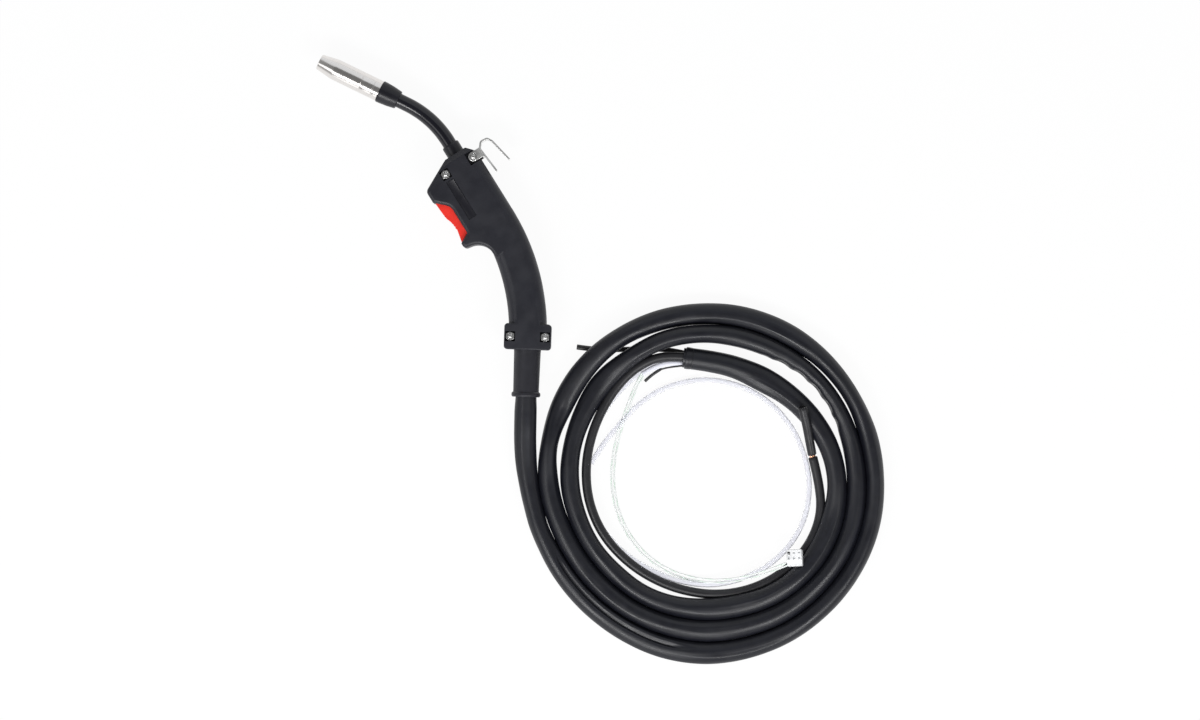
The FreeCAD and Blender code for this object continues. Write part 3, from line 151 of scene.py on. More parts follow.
def blend_colour(material, share, first, second):
    """Mixes two colours; the first may be the result of an earlier mix."""
    tree = material.node_tree
    mix = tree.nodes.new("ShaderNodeMix")
    mix.data_type = "RGBA"
    colour_a, colour_b = [socket for socket in mix.inputs if socket.type == "RGBA"]
    base = shader_of(material).inputs["Base Color"]
    if base.is_linked:
        tree.links.new(base.links[0].from_socket, colour_a)
    else:
        colour_a.default_value = (*first, 1.0)
    colour_b.default_value = (*second, 1.0)
    tree.links.new(share, mix.inputs[0])
    result = next(socket for socket in mix.outputs if socket.type == "RGBA")
    tree.links.new(result, base)


def add_bump(material, source, height, strength=1.0):
    """Relief of a height in metres; a second call adds to the first."""
    tree = material.node_tree
    bump = add_node(tree, "ShaderNodeBump", Strength=strength, Distance=height)
    tree.links.new(source, bump.inputs["Height"])
    normal = shader_of(material).inputs["Normal"]
    if normal.is_linked:
        tree.links.new(normal.links[0].from_socket, bump.inputs["Normal"])
    tree.links.new(bump.outputs["Normal"], normal)


# Materials

def moulded(name, colour, roughness, texture, relief, shine=0.4):
    """Moulded plastic with a fine spark-eroded texture, cloudy gloss and pale specks of dust."""
    material = new_material(name, colour, roughness, Specular_IOR_Level=shine)
    vary_roughness(material, grain(material, 18 * MM), roughness - 0.06, roughness + 0.08)
    cloud = spread(material, grain(material, 9 * MM), 0.0, 1.0)
    blend_colour(material, cloud, [0.94 * c for c in colour], [1.07 * c for c in colour])
    specks = grain(material, 1.1 * MM, detail=5.0)
    dust = spread(material, specks, 0.0, 0.35, start=0.66, end=0.76)
    blend_colour(material, dust, colour, [0.5 * c + 0.05 for c in colour])
    add_bump(material, grain(material, texture, detail=2.0), relief)
    return material


def metal(name, colour, roughness, marks, stretch, turn=0.0, relief=0.002 * MM):
    """Metal with fine marks in one direction, and duller patches."""
    material = new_material(name, colour, roughness, metallic=1.0)
    lines = grain(material, marks, stretch, detail=2.0, turn=turn)
    vary_roughness(material, lines, 0.9 * roughness, 1.25 * roughness)
    add_bump(material, lines, relief)
    dull = spread(material, lines, 0.0, 1.0)
    blend_colour(material, dull, [0.95 * c for c in colour], colour)
    return material


def rubber(name, colour, roughness, relief, streaks=0.0, shine=0.4):
    """Soft black skin of a cord or boot, with faint dust; streaks are its lengthwise folds, whose
    crests get a painted sheen.
    """
    material = new_material(name, colour, roughness, Specular_IOR_Level=shine)
    vary_roughness(material, grain(material, 25 * MM), roughness - 0.05, roughness + 0.08)
    cloud = spread(material, grain(material, 5 * MM), 0.0, 1.0)
    blend_colour(material, cloud, colour, [1.3 * c for c in colour])
    add_bump(material, grain(material, 0.5 * MM, detail=2.0), relief)
    if streaks:
        folds = grain(material, 4.5 * MM, stretch=(1.0, 1.0, 0.05), detail=2.0, skin=True)
        add_bump(material, folds, streaks)
        # Painted sheen: the crests of the folds are painted paler, standing in for their
        # highlight
        fold_sheen = spread(material, folds, 0.0, 0.5, start=0.55, end=0.75)
        blend_colour(material, fold_sheen, colour, [2.1 * c for c in colour])
    return material


def clear_plastic(name, colour, roughness, transmission):
    """Milky plastic, a little uneven inside."""
    material = new_material(name, colour, roughness, Transmission_Weight=transmission, IOR=1.40)
    drift = grain(material, 6 * MM, stretch=(1.0, 1.0, 0.3), skin=True)
    cloud = spread(material, drift, 0.0, 1.0)
    blend_colour(material, cloud, colour, [0.94 * c for c in colour])
    vary_roughness(material, grain(material, 9 * MM, skin=True), roughness, roughness + 0.10)
    return material


def striped_wire():
    """Whitish wire skin with a pale green stripe that winds round it."""
    white, green = (0.75, 0.775, 0.765), (0.61, 0.73, 0.64)
    material = new_material("white_wire", white, 0.34)
    tree = material.node_tree
    place = tree.nodes.new("ShaderNodeTexCoord")
    mapping = add_node(tree, "ShaderNodeMapping", Scale=(1.0, 0.3, 1.0))
    wave = add_node(tree, "ShaderNodeTexWave", Scale=0.2 * math.pi)
    wave.bands_direction = "DIAGONAL"
    tree.links.new(place.outputs["UV"], mapping.inputs["Vector"])
    tree.links.new(mapping.outputs["Vector"], wave.inputs["Vector"])
    stripe = spread(material, wave.outputs["Fac"], 0.0, 0.8, start=0.60, end=0.95)
    blend_colour(material, stripe, white, green)
    vary_roughness(material, grain(material, 3 * MM), 0.28, 0.42)
    return material


# Stretch of the marks on turned metal, and the turn that lays them round the head's axis
TURNED = (1.0, 0.04, 0.04)
ALONG_HEAD = -math.atan2(HEAD_WAY.y, HEAD_WAY.x)
finishes = {
    "nozzle_nickel": metal("nozzle_nickel", (0.80, 0.775, 0.755), 0.15, 0.5 * MM, TURNED,
                           turn=ALONG_HEAD, relief=0.0003 * MM),
    "insulator_black": moulded("insulator_black", (0.0065, 0.0065, 0.0105), 0.34, 0.5 * MM,
                               0.006 * MM, shine=0.36),
    "neck_black": rubber("neck_black", (0.0045, 0.0045, 0.0080), 0.16, 0.003 * MM, shine=0.48),
    "copper": metal("copper", (0.80, 0.42, 0.26), 0.30, 0.3 * MM, TURNED, ALONG_HEAD),
    "brass": metal("brass", (0.78, 0.60, 0.30), 0.32, 0.3 * MM, TURNED, ALONG_HEAD),
    "spring_steel": metal("spring_steel", (0.55, 0.55, 0.56), 0.30, 0.3 * MM, TURNED, ALONG_HEAD),
    "zinc_steel": metal("zinc_steel", (0.58, 0.58, 0.575), 0.27, 0.4 * MM, (1.0, 1.0, 0.3)),
    "hook_steel": metal("hook_steel", (0.74, 0.74, 0.73), 0.36, 0.3 * MM, (1.0, 1.0, 0.15)),
    "handle_plastic": moulded("handle_plastic", (0.0115, 0.0120, 0.0175), 0.44, 0.35 * MM,
                              0.018 * MM),
    "trigger_red": moulded("trigger_red", (0.78, 0.030, 0.018), 0.40, 0.4 * MM, 0.010 * MM),
    "switch_plastic": moulded("switch_plastic", (0.04, 0.04, 0.04), 0.4, 0.4 * MM, 0.01 * MM),
    "plunger_plastic": moulded("plunger_plastic", (0.55, 0.10, 0.08), 0.4, 0.4 * MM, 0.01 * MM),
    "boot_rubber": rubber("boot_rubber", (0.0095, 0.0095, 0.0140), 0.46, 0.012 * MM),
    "cable_jacket": rubber("cable_jacket", (0.0055, 0.0060, 0.0095), 0.38, 0.006 * MM,
                           streaks=0.25 * MM),
    "power_insulation": rubber("power_insulation", (0.011, 0.011, 0.013), 0.40, 0.010 * MM,
                               streaks=0.15 * MM),
    "clear_hose": clear_plastic("clear_hose", (0.88, 0.885, 0.945), 0.50, 0.88),
    "liner_black": rubber("liner_black", (0.012, 0.012, 0.013), 0.36, 0.008 * MM),
    "white_sleeve": clear_plastic("white_sleeve", (0.78, 0.79, 0.87), 0.40, 0.15),
    "white_wire": striped_wire(),
    "black_wire": rubber("black_wire", (0.011, 0.011, 0.012), 0.36, 0.008 * MM),
    "white_housing": moulded("white_housing", (0.82, 0.83, 0.84), 0.36, 0.5 * MM, 0.006 * MM),
}
slot_of = {}
for subpart in frame["record"]["subparts"]:
    slot_of[subpart["node"]] = subpart.get("material_slot")


# Meshes

def new_piece(name, verts, faces, slot, body="root", replaces=(), sharp=35.0):
    """A smooth mesh with its material, on its body, in place of CAD nodes."""
    mesh = bpy.data.meshes.new(name)
    mesh.from_pydata([tuple(v) for v in verts], [], faces)
    mesh.validate()
    piece = placed(name, mesh)
    mesh.shade_smooth()
    mesh.set_sharp_from_angle(angle=math.radians(sharp))
    return dressed(piece, slot, body, replaces)


def dressed(piece, slot, body="root", replaces=()):
    piece.data.materials.clear()
    piece.data.materials.append(finishes[slot])
    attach(piece, body)
    if replaces:
        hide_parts(*replaces)
    return piece


# Flat faces differ by less than the first angle, and edges sharper than the second are rounded
FLAT_ANGLE = math.radians(0.5)
EDGE_ANGLE = math.radians(45.0)


def bevelled(name, node, width, body="root"):
    """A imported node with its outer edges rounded."""
    mesh = frame["nodes"][node].data.copy()
    shape = bmesh.new()
    shape.from_mesh(mesh)
    bmesh.ops.remove_doubles(shape, verts=shape.verts, dist=1e-6)
    bmesh.ops.dissolve_limit(shape, angle_limit=FLAT_ANGLE, verts=shape.verts, edges=shape.edges)
    weights = shape.edges.layers.float.new("bevel_weight_edge")
    for edge in shape.edges:
        if edge.is_manifold and edge.calc_face_angle_signed() > EDGE_ANGLE:
            edge[weights] = 1.0
    shape.to_mesh(mesh)
    shape.free()
    mesh.shade_smooth()
    draft = placed(name + "_draft", mesh)
    edges = draft.modifiers.new("edges", "BEVEL")
    edges.width = width
    edges.segments = 3
    edges.limit_method = "WEIGHT"
    edges.use_clamp_overlap = True
    normals = draft.modifiers.new("normals", "WEIGHTED_NORMAL")
    normals.keep_sharp = False
    seen = draft.evaluated_get(bpy.context.evaluated_depsgraph_get())
    done = bpy.data.meshes.new_from_object(seen)
    done.name = name
    bpy.data.objects.remove(draft)
    return dressed(placed(name, done), slot_of[node], body, [node])


def band(first, second):
    """Faces between two closed rings of vertex numbers."""
    count = len(first)
    faces = []
    for side in range(count):
        after = (side + 1) % count
        faces.append((first[side], first[after], second[after], second[side]))
    return faces


def ring_numbers(count, sides):
    """Vertex numbers of rings that were made one after the other."""
    return [list(range(n * sides, (n + 1) * sides)) for n in range(count)]


def walls(rings):
    """Faces between each ring and the next."""
    faces = []
    for first, second in zip(rings, rings[1:]):
        faces += band(first, second)
    return faces


def merged(parts):
    """One list of vertices and one of faces from several."""
    verts = []
    faces = []
    for part_verts, part_faces in parts:
        start = len(verts)
        verts += part_verts
        faces += [[start + number for number in face] for face in part_faces]
    return verts, faces


FILLET_STEPS = 4
LONGEST_FILLET = 0.45       # share of a side that its corner's rounding may take


def rounded(profile):
    """Corners of a profile, where a third value rounds the corner."""
    done = []
    count = len(profile)
    for number, corner in enumerate(profile):
        here = Vector(corner[:2])
        fillet = corner[2] if len(corner) > 2 else 0.0
        before = Vector(profile[(number - 1) % count][:2]) - here
        after = Vector(profile[(number + 1) % count][:2]) - here
        if fillet == 0.0:
            done.append(here)
            continue
        half = before.angle(after) / 2
        reach = min(fillet / math.tan(half), LONGEST_FILLET * before.length,
                    LONGEST_FILLET * after.length)
        start = here + before.normalized() * reach
        end = here + after.normalized() * reach
        for step in range(FILLET_STEPS + 1):
            share = step / FILLET_STEPS
            done.append((1 - share) ** 2 * start
                        + 2 * share * (1 - share) * here
                        + share ** 2 * end)
    return done


def turned(name, origin, way, profile, slot, body="root", replaces=(), sides=96):
    """A turned piece from (station, radius, rounding) in millimetres along its axis."""
    across = way.cross(UP).normalized()
    lift = across.cross(way)
    verts = []
    corners = rounded(profile)
    for station, radius in corners:
        for side in range(sides):
            angle = math.tau * side / sides
            outward = math.cos(angle) * across + math.sin(angle) * lift
            verts.append(origin + MM * (station * way + radius * outward))
    rings = ring_numbers(len(corners), sides)
    return new_piece(name, verts, walls(rings + rings[:1]), slot, body, replaces)


def stacked(centre, rings, sides=48):
    """Rings about an upright axis, the last one closed; each is a radius and a height in
    millimetres, or a function that gives both for an angle."""
    verts = []
    for ring in rings:
        for side in range(sides):
            angle = math.tau * side / sides
            radius, height = ring(angle) if callable(ring) else ring
            spot = Vector((radius * math.cos(angle), radius * math.sin(angle), height))
            verts.append(centre + MM * spot)
    numbers = ring_numbers(len(rings), sides)
    return verts, [numbers[-1]] + walls(numbers)


# Tubes and cords

def polar(angle, radius, height):
    """A point by its angle and distance from the middle of the coil."""
    turn = math.radians(angle)
    return COIL_MIDDLE + Vector((radius * math.cos(turn), radius * math.sin(turn), height))


def line_through(points, resolution=8):
    """Points along the smooth line that a route's points control."""
    data = bpy.data.curves.new("route", "CURVE")
    data.dimensions = "3D"
    data.resolution_u = resolution
    spline = data.splines.new("NURBS")
    spline.points.add(len(points) - 1)
    for spot, point in zip(spline.points, points):
        spot.co = (*point, 1.0)
    spline.order_u = 3
    spline.use_endpoint_u = True
    curve = bpy.data.objects.new("route", data)
    mesh = bpy.data.meshes.new_from_object(curve)
    line = [vertex.co.copy() for vertex in mesh.vertices]
    bpy.data.objects.remove(curve)
    bpy.data.meshes.remove(mesh)
    bpy.data.curves.remove(data)
    return line


def length_of(line):
    return sum((there - here).length for here, there in zip(line, line[1:]))


def evenly(line, step):
    """The same line with points at even distances."""
    count = max(2, round(length_of(line) / step))
    gap = length_of(line) / count
    done = [line[0].copy()]
    walked = 0.0
    for here, there in zip(line, line[1:]):
        run = (there - here).length
        while len(done) < count and walked + run >= gap * len(done):
            done.append(here.lerp(there, (gap * len(done) - walked) / run))
        walked += run
    done.append(line[-1].copy())
    return done


def section_frame(line, number):
    """The line's direction at a point, and the directions to its right and up."""
    before = line[max(number - 1, 0)]
    after = line[min(number + 1, len(line) - 1)]
    way = (after - before).normalized()
    side_way = way.cross(UP).normalized()
    return way, side_way, side_way.cross(way)


def tube(name, line, radius, slot, sides=20, shape=None, lip=0.0, replaces=()):
    """A tube along a line. shape(number, angle) gives how far the section reaches at a point,
    with the angle 0 at the line's right and a quarter turn at the top. lip rounds both ends.
    Nothing reaches below the floor."""
    verts = []
    skin = []
    walked = 0.0
    for number, point in enumerate(line):
        side_way, lift = section_frame(line, number)[1:]
        if number:
            walked += (point - line[number - 1]).length
        for side in range(sides):
            angle = math.tau * side / sides
            reach = shape(number, angle) if shape else radius
            x, y = reach * math.cos(angle), reach * math.sin(angle)
            spot = point + x * side_way + y * lift
            spot.z = max(spot.z, 0.0)
            verts.append(spot)
            skin.append((x, y, walked))
    rings = ring_numbers(len(line), sides)
    faces = walls(rings)
    for ring, way in ((0, line[0] - line[1]), (-1, line[-1] - line[-2])):
        # An end is drawn in a little, then closed
        start = len(verts)
        for edge in rings[ring]:
            inward = line[ring] + (verts[edge] - line[ring]) * (1 - lip / radius)
            verts.append(inward + way.normalized() * lip)
            skin.append(skin[edge])
        cap = list(range(start, start + sides))
        faces += band(rings[ring], cap) if ring else band(cap, rings[ring])
        faces.append(cap if ring else cap[::-1])
    piece = new_piece(name, verts, faces, slot, replaces=replaces, sharp=50.0)
    along = piece.data.attributes.new("skin", "FLOAT_VECTOR", "POINT")
    for spot, value in zip(along.data, skin):
        spot.vector = value
    layer = piece.data.uv_layers.new(name="around")
    for loop in piece.data.loops:
        x, y, distance = skin[loop.vertex_index]
        around = math.atan2(y, x) / math.tau
        layer.data[loop.index].uv = (around % 1.0, distance / (math.tau * radius))
    return piece


def strand(line, radius, sides=8):
    """Vertices and faces of a thin plain tube, for a bundle."""
    verts = []
    for number, point in enumerate(line):
        side_way, lift = section_frame(line, number)[1:]
        for side in range(sides):
            angle = math.tau * side / sides
            verts.append(point + radius * (math.cos(angle) * side_way + math.sin(angle) * lift))
    rings = ring_numbers(len(line), sides)
    return verts, [rings[0][::-1], rings[-1]] + walls(rings)


# The jacketed cable: out of the boot, down to the ground and inwards round the coil.
# Its soft jacket is narrow where it stands on edge and wide where it lies flat.

LEAD_ROUTE = [
    Vector((-0.02763, -0.12000, MIDDLE)),
    Vector((-0.06510, -0.17554, MIDDLE)),
    Vector((-0.08350, -0.20400, 0.0122)),
    Vector((-0.09700, -0.23150, 0.0094)),
    Vector((-0.10420, -0.25200, 0.0088)),
]
# Angle about the coil's middle and half of the width, before the first turn
LEAD_WIDTHS = [
    (100.0, 8.8),
    (121.0, 8.8),
    (126.0, 9.5),
    (140.0, 9.3),
    (150.0, 8.2),
]
# Angle, distance from the middle, half of the width, and how far the cable is lifted, in
# degrees and millimetres: every 15 degrees for nearly three turns
COIL_KNOTS = [
    (164.0, 143.9, 7.9, 0.0),
    (178.0, 141.9, 8.6, 0.0),
    (193.0, 140.9, 8.9, 0.0),
    (208.0, 140.9, 9.5, 0.0),
    (223.0, 142.4, 10.0, 0.0),
    (238.0, 144.1, 9.7, 0.0),
    (253.0, 144.0, 9.3, 0.0),
    (268.0, 144.9, 8.7, 0.0),
    (283.0, 145.1, 8.2, 0.0),
    (298.0, 145.9, 7.8, 0.0),
    (313.0, 146.2, 7.9, 0.0),
    (328.0, 145.8, 7.7, 0.0),
    (343.0, 145.4, 8.1, 0.0),
    (358.0, 146.2, 7.0, 0.0),
    (373.0, 146.5, 7.8, 0.0),
    (388.0, 145.5, 9.5, 0.0),
    (403.0, 145.7, 9.3, 0.0),
    (418.0, 144.6, 9.2, 0.0),
    (433.0, 144.1, 9.0, 1.5),
    (448.0, 143.7, 8.3, 4.2),
    (463.0, 141.4, 9.2, 3.8),
    (478.0, 137.6, 9.6, 1.0),
    (493.0, 136.0, 7.4, 0.0),
    (508.0, 132.2, 8.8, 0.0),
    (523.0, 127.3, 8.8, 0.0),
    (538.0, 124.7, 8.9, 0.0),
    (553.0, 123.3, 9.0, 0.0),
    (568.0, 123.3, 8.5, 0.0),
    (583.0, 123.6, 8.9, 0.0),
    (598.0, 125.0, 9.4, 0.0),
    (613.0, 125.8, 8.8, 0.0),
    (628.0, 127.9, 8.6, 0.0),
    (643.0, 129.0, 8.2, 0.0),
    (658.0, 130.8, 7.7, 0.0),
    (673.0, 131.1, 8.0, 0.0),
    (688.0, 130.0, 8.4, 0.0),
    (703.0, 129.8, 8.0, 0.0),
    (718.0, 130.9, 7.0, 0.0),
    (733.0, 131.2, 6.9, 0.0),
    (748.0, 128.6, 7.9, 0.0),
    (763.0, 128.1, 8.5, 0.5),
    (778.0, 127.7, 7.8, 2.8),
    (793.0, 127.4, 7.7, 4.6),
    (808.0, 124.2, 7.7, 3.2),
    (823.0, 122.0, 9.6, 0.6),
    (838.0, 118.4, 8.6, 0.0),
    (853.0, 116.2, 7.8, 0.0),
    (868.0, 113.9, 8.1, 0.0),
    (883.0, 110.8, 7.8, 0.0),
    (898.0, 108.5, 7.4, 0.0),
    (913.0, 106.6, 7.9, 0.0),
    (928.0, 107.0, 7.9, 0.0),
    (943.0, 106.5, 8.3, 0.0),
    (958.0, 106.6, 9.3, 0.0),
    (973.0, 107.6, 9.6, 0.0),
    (988.0, 110.7, 9.0, 0.0),
    (1003.0, 112.9, 8.8, 0.0),
    (1018.0, 113.8, 9.6, 0.0),
    (1033.0, 113.9, 9.7, 0.0),
    (1048.0, 113.6, 8.4, 0.0),
    (1063.0, 111.5, 8.4, 0.0),
    (1078.0, 107.9, 8.9, 0.0),
    (1093.0, 104.4, 9.5, 0.0),
    (1108.0, 101.6, 10.6, 0.0),
    (1123.0, 102.4, 9.5, 0.0),
    (1136.0, 104.2, 9.2, 0.0),
]
JACKET_RADIUS = 9.0 * MM
# Root mean square of half the width and half the height, in millimetres, the same all along
JACKET_ROUND = 8.7
COIL_STEP = 15.0
# The open end of the jacket points away from the coil's middle
JACKET_END = polar(67.4, 0.1090, 0.0096)
JACKET_END_WAY = Vector((math.cos(math.radians(140.5)), math.sin(math.radians(140.5)), 0.0))
COLLAR_LENGTH = 8.0 * MM
# Where the first turn is folded, the second one dented and the first pressed in, in degrees
FOLD = (178.0, 226.0)
DENTS = (714.0, 748.0)
CROSSING = (480.0, 486.0)
DENT_SPACING = 19 * MM
# Lengthwise creases of the jacket: where along the turns, and where on the section
CREASES = [(128, 70), (250, 62), (330, 74), (402, 112), (500, 118), (560, 64), (602, 116),
           (655, 100), (702, 78), (790, 108), (842, 70), (930, 66), (985, 106), (1020, 72),
           (1092, 118)]


def between(knots, angle):
    """The knots' other values at an angle, on smooth lines through them."""
    last = len(knots) - 1
    angle = min(max(angle, knots[0][0]), knots[last][0])
    number = next(n for n in range(last) if angle <= knots[n + 1][0])
    start, end = knots[number], knots[number + 1]
    run = end[0] - start[0]
    share = (angle - start[0]) / run
    values = []
    for index in range(1, len(start)):
        slopes = []
        for near in (number, number + 1):
            low = knots[max(near - 1, 0)]
            high = knots[min(near + 1, last)]
            slopes.append((high[index] - low[index]) / (high[0] - low[0]))
        values.append((2 * share ** 3 - 3 * share ** 2 + 1) * start[index]
                      + (share ** 3 - 2 * share ** 2 + share) * run * slopes[0]
                      + (3 * share ** 2 - 2 * share ** 3) * end[index]
                      + (share ** 3 - share ** 2) * run * slopes[1])
    return values


def half_height(half_width):
    return math.sqrt(2 * JACKET_ROUND ** 2 - half_width ** 2)


def jacket_route():
    route = list(LEAD_ROUTE)
    # Points outside the turns, so that the smooth line runs at the knots' distance
    outside = 1 / math.cos(math.radians(COIL_STEP / 2))
    angle = COIL_KNOTS[0][0]
    while angle <= COIL_KNOTS[-1][0]:
        distance, half_width, lift = between(COIL_KNOTS, angle)
        height = half_height(half_width) + lift
        route.append(polar(angle, MM * distance * outside, MM * height))
        angle += COIL_STEP
    route.append(JACKET_END - JACKET_END_WAY * (COLLAR_LENGTH + 12 * MM))
    route.append(JACKET_END - JACKET_END_WAY * COLLAR_LENGTH)
    return route


def turning(line):
    """The angle of each point about the coil's middle, counted on from turn to turn."""
    angles = []
    for point in line:
        arm = point - COIL_MIDDLE
        angle = math.degrees(math.atan2(arm.y, arm.x))
        while angles and angle < angles[-1] - 180.0:
            angle += 360.0
        angles.append(angle)
    return angles


def window(value, start, end, fade):
    """1 between two limits, fading to 0 outside them."""
    outside = max(start - value, value - end, 0.0)
    return max(0.0, 1.0 - outside / fade) ** 2


def hump(angle, centre, width):
    """1 at one place of the section, falling off to both sides; in degrees."""
    away = (angle - centre + 180.0) % 360.0 - 180.0
    return math.exp(-(away / width) ** 2)


def jacket_skin(line):
    """How far the soft jacket reaches from its line, at a point's number and an angle."""
    angles = turning(line)
    widths = LEAD_WIDTHS + [(knot[0], knot[2]) for knot in COIL_KNOTS]
    step = length_of(line) / (len(line) - 1)

    def reach(number, turn):
        place = angles[number]
        along = number * step
        half_width = between(widths, place)[0]
        tall = half_height(half_width)
        across, upward = math.cos(turn), math.sin(turn)
        radius = 1 / math.hypot(across / half_width, upward / tall)
        slow = noise.noise(Vector((along * 16.0, 1.3 * across, 1.3 * upward)))
        quick = noise.noise(Vector((along * 70.0, 2.4 * across, 2.4 * upward)))
        radius *= 1.0 + 0.028 * slow + 0.008 * quick
        where = math.degrees(turn)
        # A fold along the inner side of the first turn, with a thin rim
        fold = window(place, *FOLD, 12.0)
        radius += fold * (0.7 * hump(where, 140.0, 7.0) - 2.6 * hump(where, 116.0, 12.0))
        # Dents along the inner side of the second turn
        dents = window(place, *DENTS, 8.0)
        ripple = 0.5 + 0.5 * math.sin(math.tau * along / DENT_SPACING)
        radius -= dents * ripple * 2.4 * hump(where, 165.0, 38.0)
        radius += dents * 0.5 * hump(where, 118.0, 9.0)
        # The first turn is pressed in where it crosses the next one
        radius -= 1.6 * window(place, *CROSSING, 7.0) * hump(where, 100.0, 30.0)
        for crease_place, crease_angle in CREASES:
            strength = window(place, crease_place - 12, crease_place + 12, 14.0)
            radius += 0.45 * strength * hump(where, crease_angle + 3.0 * slow, 8.0)
        return MM * radius

    return reach


def add_jacket():
    turned("jacket_mouth", JACKET_END, JACKET_END_WAY, [
        (-8.0, 7.2, 0.0), (-8.0, 9.1, 0.5), (-4.2, 9.45, 0.6), (-2.2, 9.3, 0.4),
        (-2.0, 8.4, 0.2), (-0.2, 8.35, 0.3), (0.0, 7.2, 0.3),
    ], "cable_jacket", replaces=["jacket_end_collar"])
    line = evenly(line_through(jacket_route()), 2.5 * MM)
    piece = tube("jacket", line, JACKET_RADIUS, "cable_jacket", sides=48,
                 shape=jacket_skin(line), replaces=["cable_lead", "cable_coil"])


# Lines out of the jacket's end: angle, distance from the coil's middle and height

POWER_ROUTE = [
    (65.8, 0.1087, 0.0122),
    (73.0, 0.1130, 0.0116),
    (82.0, 0.1154, 0.0104),
    (93.0, 0.1138, 0.0094),
    (106.0, 0.1094, 0.0090),
    (121.0, 0.1054, 0.0090),
    (138.0, 0.1024, 0.0090),
    (156.0, 0.0998, 0.0090),
    (174.0, 0.0968, 0.0089),
    (192.0, 0.0934, 0.0080),
    (209.0, 0.0920, 0.0066),
    (226.0, 0.0928, 0.0050),
    (244.0, 0.0958, 0.0043),
    (262.0, 0.0992, 0.0042),
    (280.0, 0.1024, 0.0042),
    (297.0, 0.1046, 0.0042),
    (313.0, 0.1040, 0.0042),
    (328.0, 0.0988, 0.0047),
    (341.5, 0.0956, 0.0062),
]
STUB_ROUTE = [
    (343.3, 0.0956, 0.0067),
    (352.0, 0.0976, 0.0120),
    (359.0, 0.1010, 0.0180),
    (365.8, 0.1054, 0.0220),
]
HOSE_ROUTE = [
    (66.1, 0.1066, 0.0054),
    (73.6, 0.1096, 0.0034),
    (84.0, 0.1098, 0.0025),
    (97.0, 0.1078, 0.0025),
    (113.0, 0.1056, 0.0025),
    (131.0, 0.1038, 0.0025),
    (149.0, 0.1010, 0.0025),
    (167.0, 0.0970, 0.0025),
    (185.0, 0.0918, 0.0025),
    (203.0, 0.0874, 0.0025),
    (222.0, 0.0864, 0.0025),
    (242.0, 0.0876, 0.0025),
    (262.0, 0.0886, 0.0025),
    (282.0, 0.0906, 0.0025),
    (302.0, 0.0922, 0.0025),
    (321.0, 0.0916, 0.0025),
    (340.0, 0.0904, 0.0025),
    (360.0, 0.0902, 0.0025),
    (380.0, 0.0902, 0.0025),
    (400.0, 0.0900, 0.0025),
    (420.0, 0.0898, 0.0025),
    (440.0, 0.0890, 0.0025),
    (458.0, 0.0880, 0.0025),
    (473.0, 0.0878, 0.0025),
    (486.0, 0.0920, 0.0025),
    (497.6, 0.0972, 0.0025),
]
LINER_ROUTE = [
    (65.3, 0.1117, 0.0067),
    (70.8, 0.1164, 0.0044),
    (77.6, 0.1220, 0.0027),
    (85.0, 0.1288, 0.0025),
    (91.8, 0.1374, 0.0025),
    (97.2, 0.1476, 0.0025),
    (100.8, 0.1588, 0.0025),
]
SLEEVE_ROUTE = [
    (66.6, 0.1034, 0.0091),
    (72.8, 0.1068, 0.0086),
    (79.8, 0.1084, 0.0078),
    (87.0, 0.1070, 0.0068),
]
CONTROL_ROUTE = [
    (87.0, 0.1070, 0.0068),
    (91.6, 0.1024, 0.0060),
    (97.6, 0.0962, 0.0048),
    (105.5, 0.0898, 0.0032),
    (116.0, 0.0846, 0.0014),
    (130.0, 0.0804, 0.0009),
    (146.0, 0.0782, 0.0009),
    (164.0, 0.0776, 0.0009),
    (182.0, 0.0780, 0.0009),
    (200.0, 0.0794, 0.0009),
    (218.0, 0.0810, 0.0009),
    (234.0, 0.0824, 0.0018),
    (248.0, 0.0846, 0.0060),
    (260.0, 0.0870, 0.0102),
    (270.0, 0.0900, 0.0130),
    (277.6, 0.0936, 0.0154),
    (284.0, 0.0976, 0.0166),
]
SPARE_ROUTE = [
    (66.8, 0.1019, 0.0120),
    (72.4, 0.1030, 0.0096),
    (78.0, 0.1043, 0.0050),
    (83.0, 0.1034, 0.0026),
    (87.8, 0.1006, 0.0016),
]
SHRINK_ROUTE = SPARE_ROUTE[2:]
POWER_RADIUS = 4.0 * MM
HOSE_RADIUS = 2.35 * MM
LINER_RADIUS = 2.25 * MM
SLEEVE_RADIUS = 2.4 * MM
WIRE_RADIUS = 0.75 * MM
SHRINK_RADIUS = 1.3 * MM
WIRE_OFFSET = 1.3 * MM
# Frayed fibres at the stub's end, the circle that they start on and their own radius
FIBRES = 30
FIBRE_CIRCLE = 3.4 * MM
FIBRE_RADIUS = 0.28 * MM
# Copper strands in each layer of the power cable, and the layer's radius in millimetres
STRAND_LAYERS = ((1, 0.0), (6, 1.05), (12, 2.1))
STRAND_RADIUS = 0.5 * MM
STRAND_STEPS = 6


def route_line(route, step=2 * MM):
    return evenly(line_through([polar(*spot) for spot in route]), step)


def add_line(name, route, radius, slot, far_end, stiffness, replaces, **more):
    """A free line out of the jacket's end or out of another line."""
    line = route_line(route, min(2.5 * MM, 0.6 * radius))
    piece = tube(name, line, radius, slot, lip=0.12 * radius, replaces=[replaces])


